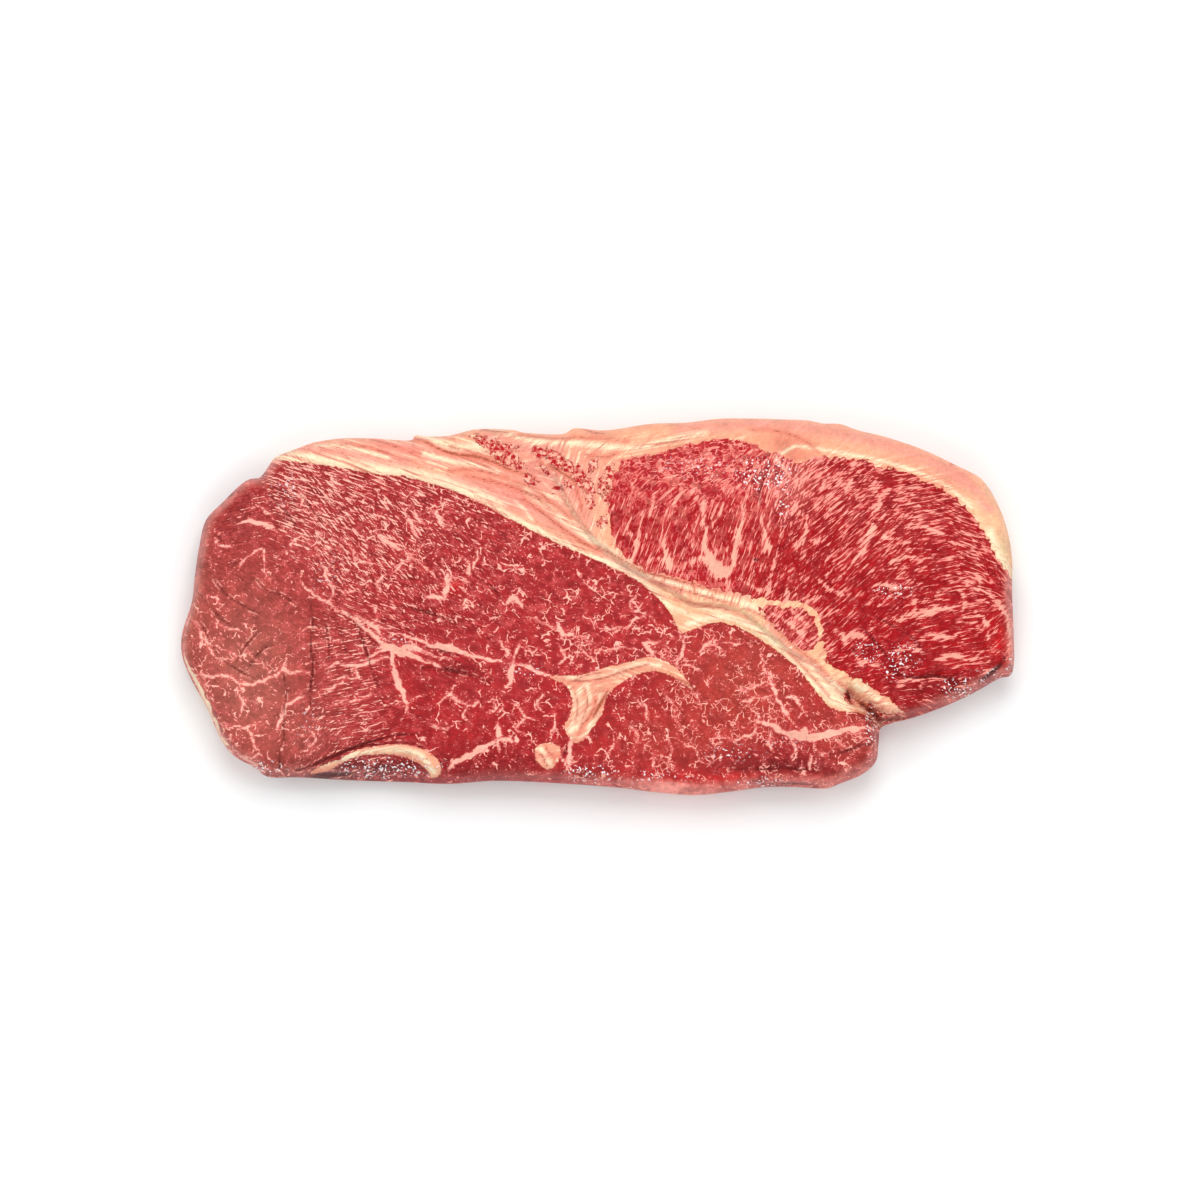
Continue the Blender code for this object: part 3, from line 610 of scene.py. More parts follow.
# Which way the grain runs: x, y, angle from +X in degrees, reach
LARGE_GRAIN = (
    (-92, 28, -38, 24), (-60, 18, -36, 24), (-30, 8, -34, 20), (5, 0, -25, 18), (-118, 30, 20, 14),
    (-118, -10, -40, 16), (-86, -16, 8, 12), (-84, -32, 14, 12), (-72, -42, 20, 12), (-98, -46, 50, 8),
    (-40, -34, -10, 18), (-10, -40, -30, 16), (20, -42, -45, 14), (48, -28, -28, 18), (82, -48, 10, 12),
    (-80, 50, -9, 12), (-52, 47, -14, 12), (-32, 40, -26, 12), (-12, 27, -30, 12), (8, 12, -26, 10),
    (32, 1, -17, 10), (52, -6, -28, 10), (66, -19, -42, 10), (80, -31, -34, 10), (96, -34, -30, 9),
    (-35, 57, -6, 8), (-5, 56, 0, 9), (34, 60, 3, 12), (70, 57, -6, 12), (100, 50, -18, 12),
    (120, 41, -36, 10), (133, 25, -62, 10), (0, -24, 12, 8), (-6, -38, 62, 8), (20, -20, -20, 7),
    (-80, -50, 22, 8), (-62, -49, -18, 8), (-66, -28, -62, 7), (-30, 50, -24, 10), (-10, 40, -46, 6),
    (-15, 54, -6, 7), (-16, -51, 60, 5), (-6, -30, 78, 5), (-4, -34, 72, 5), (-5, -38, 64, 5), (-7, -43, 60, 5),
)
CAP_GRAIN = (
    (14, 22, 72, 12), (34, 22, 82, 12), (50, 24, 74, 12), (30, 44, 20, 12), (68, 14, 52, 12), (80, 22, 48, 12),
    (64, 42, 55, 8), (84, 40, 28, 10), (102, 38, 12, 10), (116, 32, -8, 9), (126, 22, -30, 9), (112, 18, 20, 10),
    (96, 12, 30, 12), (88, -4, 34, 10), (98, -18, 22, 12), (120, -2, 18, 12), (122, -18, 14, 12), (136, -6, 60, 7),
    (112, -30, -14, 8), (132, 8, -45, 8), (100, 27, 34, 9),
)

# The fixed directions between which the grain is drawn
GRAIN_START = -80.0
GRAIN_STEP = 30.0

# How much a millimetre of height counts in the patterns, so that they are drawn out down the side
HEIGHT_SHARE = 0.45

# How far from a border its distance is kept, and how broad the change from one muscle's look to the other's is
DEPTH_LIMIT = 12.0
MUSCLE_BLEND = 4.0

# How much marbling there is: x, y, reach, then branches, commas and streaks, and last crackle in the
# large muscles or pebbles in the cap
LARGE_MARBLING = (
    (-95, 30, 18, (0.28, 0.70, 0.72, 0.04)), (-70, 24, 18, (0.40, 0.74, 0.64, 0.16)),
    (-45, 18, 16, (0.44, 0.70, 0.52, 0.24)), (-15, 6, 16, (0.44, 0.66, 0.30, 0.34)),
    (12, -4, 14, (0.42, 0.58, 0.18, 0.34)), (-122, 28, 13, (0.12, 0.36, 0.32, 0.04)),
    (-108, 8, 12, (0.28, 0.34, 0.28, 0.06)), (-70, 2, 12, (0.38, 0.68, 0.56, 0.20)),
    (-122, -22, 16, (0.40, 0.46, 0.10, 0.30)), (-114, -44, 12, (0.40, 0.44, 0.14, 0.28)),
    (-86, -16, 10, (0.14, 0.40, 0.60, 0.0)), (-82, -36, 12, (0.24, 0.42, 0.60, 0.0)),
    (-97, -47, 7, (0.34, 0.44, 0.52, 0.25)), (-54, -32, 14, (0.36, 0.22, 0.26, 0.15)),
    (-34, -38, 13, (0.38, 0.34, 0.12, 0.28)), (-20, -52, 10, (0.38, 0.40, 0.16, 0.30)),
    (8, -42, 14, (0.38, 0.34, 0.10, 0.34)), (24, -54, 10, (0.36, 0.36, 0.10, 0.38)),
    (42, -22, 14, (0.36, 0.46, 0.05, 0.42)), (62, -28, 12, (0.30, 0.46, 0.05, 0.40)),
    (50, -44, 12, (0.34, 0.42, 0.06, 0.40)), (84, -46, 11, (0.36, 0.40, 0.30, 0.36)),
)
CAP_MARBLING = (
    (20, 44, 12, (0.10, 0.2, 0.50, 0.9)), (44, 46, 12, (0.10, 0.2, 0.52, 0.9)), (8, 30, 9, (0.10, 0.2, 0.50, 0.4)),
    (26, 26, 11, (0.10, 0.2, 0.54, 0.40)), (46, 24, 10, (0.10, 0.2, 0.50, 0.35)),
    (34, 10, 9, (0.20, 0.3, 0.50, 0.65)),
    (66, 40, 8, (0.10, 0.2, 0.70, 0.35)), (66, 14, 10, (0.14, 0.3, 0.48, 0.12)), (82, 32, 12, (0.10, 0.3, 0.58, 0.0)),
    (104, 34, 12, (0.10, 0.3, 0.60, 0.0)), (112, 14, 12, (0.14, 0.3, 0.52, 0.0)),
    (128, 8, 10, (0.14, 0.3, 0.55, 0.0)),
    (92, -2, 12, (0.20, 0.4, 0.46, 0.0)), (104, -20, 12, (0.30, 0.4, 0.44, 0.0)), (124, -12, 12, (0.20, 0.4, 0.48, 0.0)),
    (118, -30, 8, (0.24, 0.4, 0.42, 0.0)), (66, -6, 7, (0.30, 0.4, 0.62, 0.3)), (92, 12, 9, (0.14, 0.3, 0.50, 0.0)),
)

# How strongly pale skin covers the side: x, y, reach along x, reach along y, strength
SKIN = (
    (-50, -59, 50, 9, 0.0), (26, -61.5, 13, 8, 0.85), (56, -60.5, 16, 6, 0.3), (-120, -40, 30, 24, 0.1),
    (100, -40, 18, 9, 0.1),
)

# Wet spots, where white glints are painted into the colour and the meat is darker, smoother and bumpier: x, y, reach
# along x, reach along y, strength
GLITTER = (
    (-70, -54.5, 16, 3.0, 1.0), (-2, -57, 9, 2.6, 1.0), (56, 44, 9, 6, 0.9), (99, 4, 7, 2.4, 0.7), (90, -16, 5, 5, 0.6),
    (102, -18, 6, 5, 0.8), (100, -23, 6, 3, 0.7), (121, -28, 6, 3, 1.0), (131, -24, 6, 3, 0.6), (139, -20, 3, 3, 0.8),
    (91, -42, 2, 9, 0.9), (54, -59.4, 9, 1.4, 0.8), (30, -59, 4, 1.4, 0.5), (-112, -55, 8, 2.4, 0.8),
    (-66, -12, 6, 3, 0.35), (60, -46, 12, 6, 0.3),
    (-104, 38, 8, 8, 0.35), (-90, 10, 8, 10, 0.3), (-24, -22, 6, 3, 0.5), (62, 34, 3, 10, 0.5),
    (-96, -40, 6, 14, 0.3), (44, -50, 12, 4, 0.4), (18, -58, 12, 2.5, 0.5), (34, 46, 20, 6, 0.35),
)


def srgb(red, green, blue):
    """A colour picked on screen, 0 to 255, as the linear colour that Blender mixes."""
    shares = [channel / 255.0 for channel in (red, green, blue)]
    return tuple(s / 12.92 if s <= 0.04045 else ((s + 0.055) / 1.055) ** 2.4 for s in shares)


# Shapes seen from above, in millimetres


def smooth_point(before, start, end, after, t):
    """A point of the Catmull-Rom curve between start and end."""
    return 0.5 * (
        2 * start
        + (end - before) * t
        + (2 * before - 5 * start + 4 * end - after) * t * t
        + (3 * start - before - 3 * end + after) * t * t * t
    )


def smooth_loop(points, steps):
    """The closed smooth curve through the points, finely divided."""
    corners = [Vector(point) for point in points]
    count = len(corners)
    curve = []
    for i in range(count):
        four = [corners[(i + k) % count] for k in (-1, 0, 1, 2)]
        curve += [smooth_point(*four, step / steps) for step in range(steps)]
    return curve


def smooth_path(points, steps=4):
    """The open smooth curve through the points."""
    corners = [Vector(point) for point in points]
    corners = [2 * corners[0] - corners[1]] + corners + [2 * corners[-1] - corners[-2]]
    curve = []
    for four in zip(corners, corners[1:], corners[2:], corners[3:]):
        curve += [smooth_point(*four, step / steps) for step in range(steps)]
    return curve + [corners[-2]]


def even_loop(curve, spacing):
    """The same closed curve with its points an even distance apart."""
    lengths = [(curve[(i + 1) % len(curve)] - curve[i]).length for i in range(len(curve))]
    count = round(sum(lengths) / spacing)
    stride = sum(lengths) / count
    evened, travelled, i = [], 0.0, 0
    for k in range(count):
        while travelled + lengths[i] < k * stride:
            travelled += lengths[i]
            i += 1
        share = (k * stride - travelled) / lengths[i]
        evened.append(curve[i].lerp(curve[(i + 1) % len(curve)], share))
    return evened


def fit_to_drawn_size(loop):
    """The loop moved and scaled so that it is centred and exactly the drawn length and width."""
    low = Vector((min(p.x for p in loop), min(p.y for p in loop)))
    high = Vector((max(p.x for p in loop), max(p.y for p in loop)))
    scale = Vector((DRAWN_LENGTH / (high.x - low.x), DRAWN_WIDTH / (high.y - low.y)))
    return [(p - (low + high) / 2) * scale for p in loop]


def inward_ways(loop, reach):
    """For each point of the clockwise loop, the direction into the steak, eased round corners."""
    count = len(loop)
    ways = []
    for i in range(count):
        along = loop[(i + reach) % count] - loop[(i - reach) % count]
        ways.append(Vector((along.y, -along.x)).normalized())
    return ways


# Distances and soft regions, worked out for many places at once


def near(places, path, reach):
    """Which places lie within reach of the path's bounding box."""
    path = np.asarray(path, float)
    low, high = path.min(0) - reach, path.max(0) + reach
    return np.nonzero(((places >= low) & (places <= high)).all(1))[0]


def path_distance(places, path, half_width=0.0, taper=0.0, pointed=False):
    """The distance from each place to the edge of a line, thinner towards its ends or towards its last end alone."""
    path = np.asarray(path, float)
    nearest = np.full(len(places), 1e9)
    lengths = np.hypot(*np.diff(path, axis=0).T)
    total, travelled = max(lengths.sum(), 1e-6), 0.0
    for start, end, length in zip(path, path[1:], lengths):
        run = end - start
        t = np.clip(((places - start) @ run) / max(run @ run, 1e-12), 0.0, 1.0)
        offset = places - start - t[:, None] * run
        share = (travelled + t * length) / total
        swell = 1.0 - share ** 0.7 if pointed else np.sin(np.pi * share)
        width = half_width * (1.0 - taper + taper * swell)
        nearest = np.minimum(nearest, np.hypot(offset[:, 0], offset[:, 1]) - width)
        travelled += length
    return nearest


def is_inside(places, loop):
    """Which places lie inside the closed loop."""
    loop = np.asarray(loop, float)
    inside = np.zeros(len(places), bool)
    x, y = places.T
    for (ax, ay), (bx, by) in zip(loop, np.roll(loop, -1, axis=0)):
        if ay == by:
            continue
        crossed = ((ay > y) != (by > y)) & (x < ax + (y - ay) / (by - ay) * (bx - ax))
        inside ^= crossed
    return inside


def depth_inside(places, loop, reach=1e3):
    """How far inside the closed loop each place lies, negative outside it."""
    depth = np.full(len(places), -reach)
    close = near(places, loop, reach)
    loop = np.asarray(loop, float)
    spot = places[close]
    distance = path_distance(spot, np.vstack([loop, loop[:1]]))
    depth[close] = np.where(is_inside(spot, loop), distance, -distance)
    return depth


def nearest_line(places, lines, reach=6.0, taper=0.4, pointed=False):
    """The distance to the edge of the nearest line, negative on a line and never more than reach."""
    nearest = np.full(len(places), reach)
    for half_width, points in lines:
        path = [tuple(p) for p in smooth_path(points)]
        close = near(places, path, reach)
        nearest[close] = np.minimum(nearest[close], path_distance(places[close], path, half_width, taper, pointed))
    return nearest


def brush_stroke(places, path, half_width):
    """Which places lie near the path, and its strength there: 1 on the path and less to its sides."""
    close = near(places, path, 3.0 * half_width)
    away = path_distance(places[close], path)
    return close, np.exp(-((away / half_width) ** 2))


def soft_lines(places, lines):
    """The strength of the strongest line at each place, each drawn as a brush stroke."""
    strength = np.zeros(len(places))
    for half_width, points in lines:
        close, stroke = brush_stroke(places, [tuple(p) for p in smooth_path(points)], half_width)
        strength[close] = np.maximum(strength[close], stroke)
    return strength


def patch_strength(places, x, y, reach_x, reach_y):
    """1 in the middle of a soft oval patch and less towards its edge."""
    return np.exp(-(((places[:, 0] - x) / reach_x) ** 2) - ((places[:, 1] - y) / reach_y) ** 2)


def blend_of_zones(places, zones):
    """Values that go smoothly from zone to zone: each zone is x, y, reach and its values."""
    weights = np.full(len(places), 1e-9)
    total = np.zeros((len(places), len(zones[0][3])))
    for x, y, reach, values in zones:
        weight = patch_strength(places, x, y, reach, reach) + 1e-7
        weights += weight
        total += weight[:, None] * np.asarray(values, float)
    return total / weights[:, None]


def rough(places, wavelength, seed=0.0, height=None):
    """Smooth random values, about -1 to 1, that vary over the given wavelength."""
    z = np.zeros(len(places)) if height is None else height
    spots = np.column_stack([places, z]) / wavelength + seed
    return np.array([noise.noise(spot) for spot in spots.tolist()])


def blotch_depth(places):
    """How far inside a red blotch in the fat each place lies, negative outside."""
    depth = np.full(len(places), -6.0)
    for x, y, half_length, half_width, slant in BLOTCHES:
        turn = math.radians(slant)
        dx, dy = places[:, 0] - x, places[:, 1] - y
        along = dx * math.cos(turn) + dy * math.sin(turn)
        across = dy * math.cos(turn) - dx * math.sin(turn)
        depth = np.maximum(depth, (1.0 - np.hypot(along / half_length, across / half_width)) * half_width)
    return depth


def meat_depth(places):
    """How deep in muscle each place lies, negative in fat, and how much it belongs to the cap muscle."""
    large = depth_inside(places, LARGE_MUSCLES)
    cap = np.maximum(depth_inside(places, CAP_MUSCLE), depth_inside(places, ISLAND, 20.0))
    depth = np.maximum(large, cap)
    for patch in FAT_PATCHES:
        loop = [tuple(p) for p in smooth_loop(patch, 3)]
        depth = np.minimum(depth, -depth_inside(places, loop, DEPTH_LIMIT))
    return np.clip(depth, -DEPTH_LIMIT, DEPTH_LIMIT), np.clip((cap - large) / MUSCLE_BLEND + 0.5, 0.0, 1.0)


# The height of the cut face


def broad_height(places):
    """The cut face's broad form: its swells, sags and large wrinkles."""
    height = np.full(len(places), CUT_THICKNESS)
    for x, y, reach_x, reach_y, rise in SWELLS:
        height += rise * patch_strength(places, x, y, reach_x, reach_y)
    for rise, half_width, path in RELIEF:
        close, stroke = brush_stroke(places, path, half_width)
        height[close] += rise * stroke
    return height + 0.4 * rough(places, 13.0)


def fine_relief(places):
    """What the broad form lacks: fibre bundles, raised fat, sunken cracks and the pebbly cap corner."""
    depth, cap = meat_depth(places)
    marbling = marbling_amounts(places, cap)
    relief = 0.20 * rough(places, 6.0, 3.7) + 0.13 * rough(places, 2.6, 9.1)
    relief += 0.42 * marbling[:, 3] * rough(places, 1.7, 5.5)
    relief += 0.26 * np.clip(-depth / 0.8, 0.0, 1.0)
    relief += 0.20 * np.clip(-nearest_line(places, VEINS) / 0.5 + 0.6, 0.0, 1.0)
    relief += 0.14 * soft_lines(places, CREAM_LINES)
    groove = np.clip(0.65 - nearest_line(places, CREASES, taper=0.7), 0.0, 1.3)
    relief -= np.where(depth > 0.0, 0.38, 0.20) * groove
    relief += 0.30 * np.clip(blotch_depth(places), 0.0, 1.0) * rough(places, 1.5, 2.2)
    return relief


def by_muscle(cap, large, small):
    """Values of the large muscles that go over to those of the cap muscle."""
    return large * (1.0 - cap[:, None]) + small * cap[:, None]


def marbling_amounts(places, cap):
    """The four kinds of marbling at each place: network, commas, streaks and pebbles."""
    return by_muscle(cap, blend_of_zones(places, LARGE_MARBLING), blend_of_zones(places, CAP_MARBLING))


def grain_angles(places, cap):
    """The grain's angle from +X at each place, in degrees."""
    angles = [
        blend_of_zones(places, [(x, y, reach, (angle,)) for x, y, angle, reach in grain])
        for grain in (LARGE_GRAIN, CAP_GRAIN)
    ]
    return by_muscle(cap, *angles)[:, 0]


def grain_frames(places, height, angles):
    """The places seen along two fixed directions either side of the grain, and the first one's share.

    Each direction only jumps to the next where its share is nothing, so that no jump shows.
    """
    steps = (np.asarray(angles) - GRAIN_START) / GRAIN_STEP
    lower = np.floor(steps)
    first = np.where(lower % 2 == 0, lower, lower + 1)
    second = np.where(lower % 2 == 0, lower + 1, lower)
    share = 1.0 - np.abs(steps - first)
    frames = []
    for which in (first, second):
        turn = np.radians(GRAIN_START + which * GRAIN_STEP)
        along = places[:, 0] * np.cos(turn) + places[:, 1] * np.sin(turn) + 40.0 * which
        across = places[:, 1] * np.cos(turn) - places[:, 0] * np.sin(turn)
        frames.append(np.column_stack([along, across, height * HEIGHT_SHARE]))
    return *frames, share


def toned(places, colour, tones, colours):
    """The base colour with soft patches of other colours laid over it in turn."""
    colour = np.tile(np.asarray(colour, float), (len(places), 1))
    for x, y, reach_x, reach_y, name, strength in tones:
        share = strength * patch_strength(places, x, y, reach_x, reach_y)[:, None]
        colour = colour * (1.0 - share) + np.asarray(colours[name], float) * share
    return colour


# The slice's mesh


def side_ring(outline, ways, share, inset):
    """One ring round the side: its places from above, and their heights."""
    uneven = 1.0 + rough(outline, SIDE_WAVELENGTH, 0.0, np.full(len(outline), 45.0 * share))
    ragged = 0.5 + 0.5 * rough(outline, 3.2, 4.0, np.full(len(outline), 12.0 * share))
    inward = inset + min(1.0, inset / 0.35) * (SIDE_UNEVENNESS * uneven + SIDE_RAGGEDNESS * ragged)
    places = outline + ways * inward[:, None]
    height = broad_height(places)
    if share > 0.8:
        height += (share - 0.8) / 0.2 * fine_relief(places)
    return places, share * height


def add_loop(bm, places, heights):
    """A closed loop of edges through the places."""
    verts = [bm.verts.new((x, y, z)) for (x, y), z in zip(places, heights)]
    return [bm.edges.new(pair) for pair in zip(verts, verts[1:] + verts[:1])]


def add_grid_inside(bm, rim_edges, rim, spacing, height_of):
    """An even grid inside the rim, joined to it by a band of triangles. Returns the grid's corners."""
    columns, rows = round(DRAWN_LENGTH / spacing), round(DRAWN_WIDTH / spacing)
    grid = bmesh.ops.create_grid(bm, x_segments=columns, y_segments=rows, size=0.5)["verts"]
    bmesh.ops.scale(bm, vec=(DRAWN_LENGTH, DRAWN_WIDTH, 1.0), verts=grid)
    places = np.array([v.co[:2] for v in grid])
    inside = is_inside(places, rim)
    rim_tree = KDTree(len(rim))
    for i, (x, y) in enumerate(rim):
        rim_tree.insert((x, y, 0.0), i)
    rim_tree.balance()
    margin = 0.55 * spacing
    for i in np.nonzero(inside)[0]:
        if rim_tree.find((places[i][0], places[i][1], 0.0))[2] < margin:
            inside[i] = False
    bmesh.ops.delete(bm, geom=[v for v, kept in zip(grid, inside) if not kept], context="VERTS")
    grid = [v for v, kept in zip(grid, inside) if kept]
    loose = {v for v in grid if not v.link_faces}
    bmesh.ops.delete(bm, geom=list(loose), context="VERTS")
    grid = [v for v in grid if v not in loose]
    grid_edges = {e for v in grid for e in v.link_edges if len(e.link_faces) == 1}
    rim_heights = {v: v.co.z for e in rim_edges for v in e.verts}
    for v in rim_heights:
        v.co.z = 0.0
    bmesh.ops.triangle_fill(bm, use_beauty=True, edges=list(grid_edges) + rim_edges, normal=(0, 0, 1))
    for v, height in rim_heights.items():
        v.co.z = height
    for v, height in zip(grid, height_of(np.array([v.co[:2] for v in grid]))):
        v.co.z = height
    return grid


def slice_bmesh():
    """The closed slice in drawn millimetres. A corner's layer "ring" tells its ring, counted from the cut face."""
    curve = even_loop(smooth_loop(OUTLINE, 12), RING_SPACING)
    curve = fit_to_drawn_size(curve)
    ways = np.array(inward_ways(curve, round(CORNER_EASING / RING_SPACING)))
    outline = np.array(curve)
    profile = smooth_path(SIDE_PROFILE, 2)
    bm = bmesh.new()
    ring_layer = bm.verts.layers.int.new("ring")
    step_layer = bm.verts.layers.int.new("step")
    loops, rims = [], []
    for share, inset in profile:
        places, heights = side_ring(outline, ways, min(share, 1.0), max(inset, 0.0))
        loops.append(add_loop(bm, places, heights))
        rims.append(places)
    bm.verts.ensure_lookup_table()
    for i, v in enumerate(bm.verts):
        v[ring_layer], v[step_layer] = divmod(i, len(outline))
    for upper, lower in zip(loops, loops[1:]):
        bmesh.ops.bridge_loops(bm, edges=upper + lower)
    cut_face = add_grid_inside(
        bm, loops[0], rims[0], TOP_SPACING, lambda places: broad_height(places) + fine_relief(places)
    )
    underside = add_grid_inside(bm, loops[-1], rims[-1], UNDERSIDE_SPACING, lambda places: np.zeros(len(places)))
    for v in cut_face:
        v[ring_layer] = -1
    for v in underside:
        v[ring_layer] = len(profile)
    bmesh.ops.recalc_face_normals(bm, faces=bm.faces)
    return bm, len(profile)


def corner_places(mesh):
    """Where the mesh's corners are, one row each."""
    co = np.zeros(len(mesh.vertices) * 3)
    mesh.vertices.foreach_get("co", co)
    return co.reshape(-1, 3)


def corner_counts(mesh, name):
    """The whole number that each of the mesh's corners keeps under the name."""
    counts = np.zeros(len(mesh.vertices), int)
    mesh.attributes[name].data.foreach_get("value", counts)
    return counts


def paint_places(mesh, ring_count):
    """Keeps what lies where as attributes of the mesh's corners."""
    colours = {name: tuple(getattr(bpy.context.scene.steak_colours, name)) for name in COLOURS}
    co = corner_places(mesh)
    ring = corner_counts(mesh, "ring")
    places = co[:, :2].copy()
    under = ring >= ring_count - 1
    shift = np.column_stack([rough(places[under], 19.0, 7.3), rough(places[under], 19.0, 1.9)])
    places[under] = places[under] * 0.985 + 3.5 * shift
    depth, cap = meat_depth(places)
    amounts = marbling_amounts(places, cap)
    lean = toned(places, colours["lean_red"], LARGE_TONES, colours)
    cap_lean = toned(places, colours["cap_red"], CAP_TONES, colours)
    lean = by_muscle(cap, lean, cap_lean)
    fat = toned(places, colours["fat_peach"], FAT_TONES, colours)
    glitter = np.zeros(len(places))
    for x, y, reach_x, reach_y, strength in GLITTER:
        glitter = np.maximum(glitter, strength * patch_strength(places, x, y, reach_x, reach_y))
    share = co[:, 2] / np.maximum(broad_height(co[:, :2]), 1.0)
    skin = np.full(len(places), 0.35)
    for x, y, reach_x, reach_y, strength in SKIN:
        skin += (strength - skin) * patch_strength(places, x, y, reach_x, reach_y)
    side = np.where((ring > 0) & ~under, skin * np.clip((0.985 - share) / 0.07, 0.0, 1.0), 0.0)
    keep_values(mesh, "meat_depth", depth)
    keep_values(mesh, "cap_share", cap)
    keep_values(mesh, "blotch_depth", blotch_depth(places))
    crooked = places + 0.9 * np.column_stack([rough(places, 2.6, 11.3), rough(places, 2.6, 17.9)])
    fingers = nearest_line(crooked, CAP_FINGERS, taper=0.9, pointed=True)
    keep_values(mesh, "vein_distance", np.minimum(nearest_line(crooked, VEINS, taper=0.6), fingers))
    keep_values(mesh, "crease_distance", nearest_line(places, CREASES, taper=0.7))
    keep_values(mesh, "cream_share", soft_lines(places, CREAM_LINES))
    keep_values(mesh, "salmon_share", soft_lines(places, SALMON_LINES))
    keep_values(mesh, "rim_share", soft_lines(places, PLAIN_RIM))
    first, second, share = grain_frames(places, co[:, 2], grain_angles(places, cap))
    keep_vectors(mesh, "along_first", first)
    keep_vectors(mesh, "along_second", second)
    keep_values(mesh, "first_share", share)
    keep_values(mesh, "glitter", np.where(under, 0.0, glitter))
    keep_values(mesh, "side", side)
    keep_colours(mesh, "marbling", amounts)
    keep_colours(mesh, "lean_tone", np.column_stack([lean, np.ones(len(lean))]))
    keep_colours(mesh, "fat_tone", np.column_stack([fat, np.ones(len(fat))]))


def keep_values(mesh, name, values):
    layer = mesh.attributes.new(name, "FLOAT", "POINT")
    layer.data.foreach_set("value", np.asarray(values, np.float32))


def keep_vectors(mesh, name, values):
    layer = mesh.attributes.new(name, "FLOAT_VECTOR", "POINT")
    layer.data.foreach_set("vector", np.asarray(values, np.float32).ravel())


def keep_colours(mesh, name, values):
    layer = mesh.attributes.new(name, "FLOAT_COLOR", "POINT")
    layer.data.foreach_set("color", np.asarray(values, np.float32).ravel())


def lay_out_map(mesh, ring_count):
    """The UV map: the cut face takes the most room, then the underside, and the side lies in two strips."""
    corner_vertex = np.zeros(len(mesh.loops), int)
    mesh.loops.foreach_get("vertex_index", corner_vertex)
    sizes = np.zeros(len(mesh.polygons), int)
    mesh.polygons.foreach_get("loop_total", sizes)
    ring, step = corner_counts(mesh, "ring"), corner_counts(mesh, "step")
    starts = np.concatenate([[0], np.cumsum(sizes)[:-1]])
    face = np.repeat(np.arange(len(sizes)), sizes)
    corner_ring, corner_step = ring[corner_vertex], step[corner_vertex]
    low_ring = np.minimum.reduceat(corner_ring, starts)[face]
    high_ring = np.maximum.reduceat(corner_ring, starts)[face]
    is_top = high_ring <= 0
    is_under = low_ring >= ring_count - 1
    steps = int(step[(ring >= 0) & (ring < ring_count)].max()) + 1
    low_step = np.minimum.reduceat(corner_step, starts)[face]
    high_step = np.maximum.reduceat(corner_step, starts)[face]
    wraps = high_step - low_step > steps / 2
    unrolled = corner_step + np.where(wraps & (corner_step < steps / 2), steps, 0)
    first_half = np.where(wraps, high_step, low_step) < steps // 2
    u_side = 0.02 + 0.96 * (unrolled - np.where(first_half, 0, steps // 2)) / (steps // 2 + 2)
    v_side = np.where(first_half, 0.02, 0.115) + 0.08 * (1.0 - corner_ring / (ring_count - 1))
    flat = corner_places(mesh)[corner_vertex][:, :2]
    top = np.column_stack([0.5 + flat[:, 0] * 0.96 / DRAWN_LENGTH, 0.765 + flat[:, 1] * 0.96 / DRAWN_LENGTH])
    under = np.column_stack([0.35 + flat[:, 0] * 0.64 / DRAWN_LENGTH, 0.365 + flat[:, 1] * 0.64 / DRAWN_LENGTH])
    uv = np.where(is_top[:, None], top, np.where(is_under[:, None], under, np.column_stack([u_side, v_side])))
    layer = mesh.uv_layers.new(name="OFBake")
    layer.data.foreach_set("uv", uv.astype(np.float32).ravel())


def build_slice(sizes):
    """The finished slice as an object, at the chosen size."""
    bm, ring_count = slice_bmesh()
    mesh = bpy.data.meshes.new("sirloin_steak")
    bm.to_mesh(mesh)
    bm.free()
    paint_places(mesh, ring_count)
    lay_out_map(mesh, ring_count)
    co = corner_places(mesh)
    co[:, 2] = np.clip(co[:, 2], 0.0, DRAWN_HEIGHT)
    co *= (sizes.length / DRAWN_LENGTH, sizes.width / DRAWN_WIDTH, sizes.height / DRAWN_HEIGHT)
    mesh.vertices.foreach_set("co", co.ravel())
    mesh.update()
    mesh.shade_smooth()
    steak = bpy.data.objects.new("sirloin_steak", mesh)
    bpy.context.scene.collection.objects.link(steak)
    return steak


# Materials


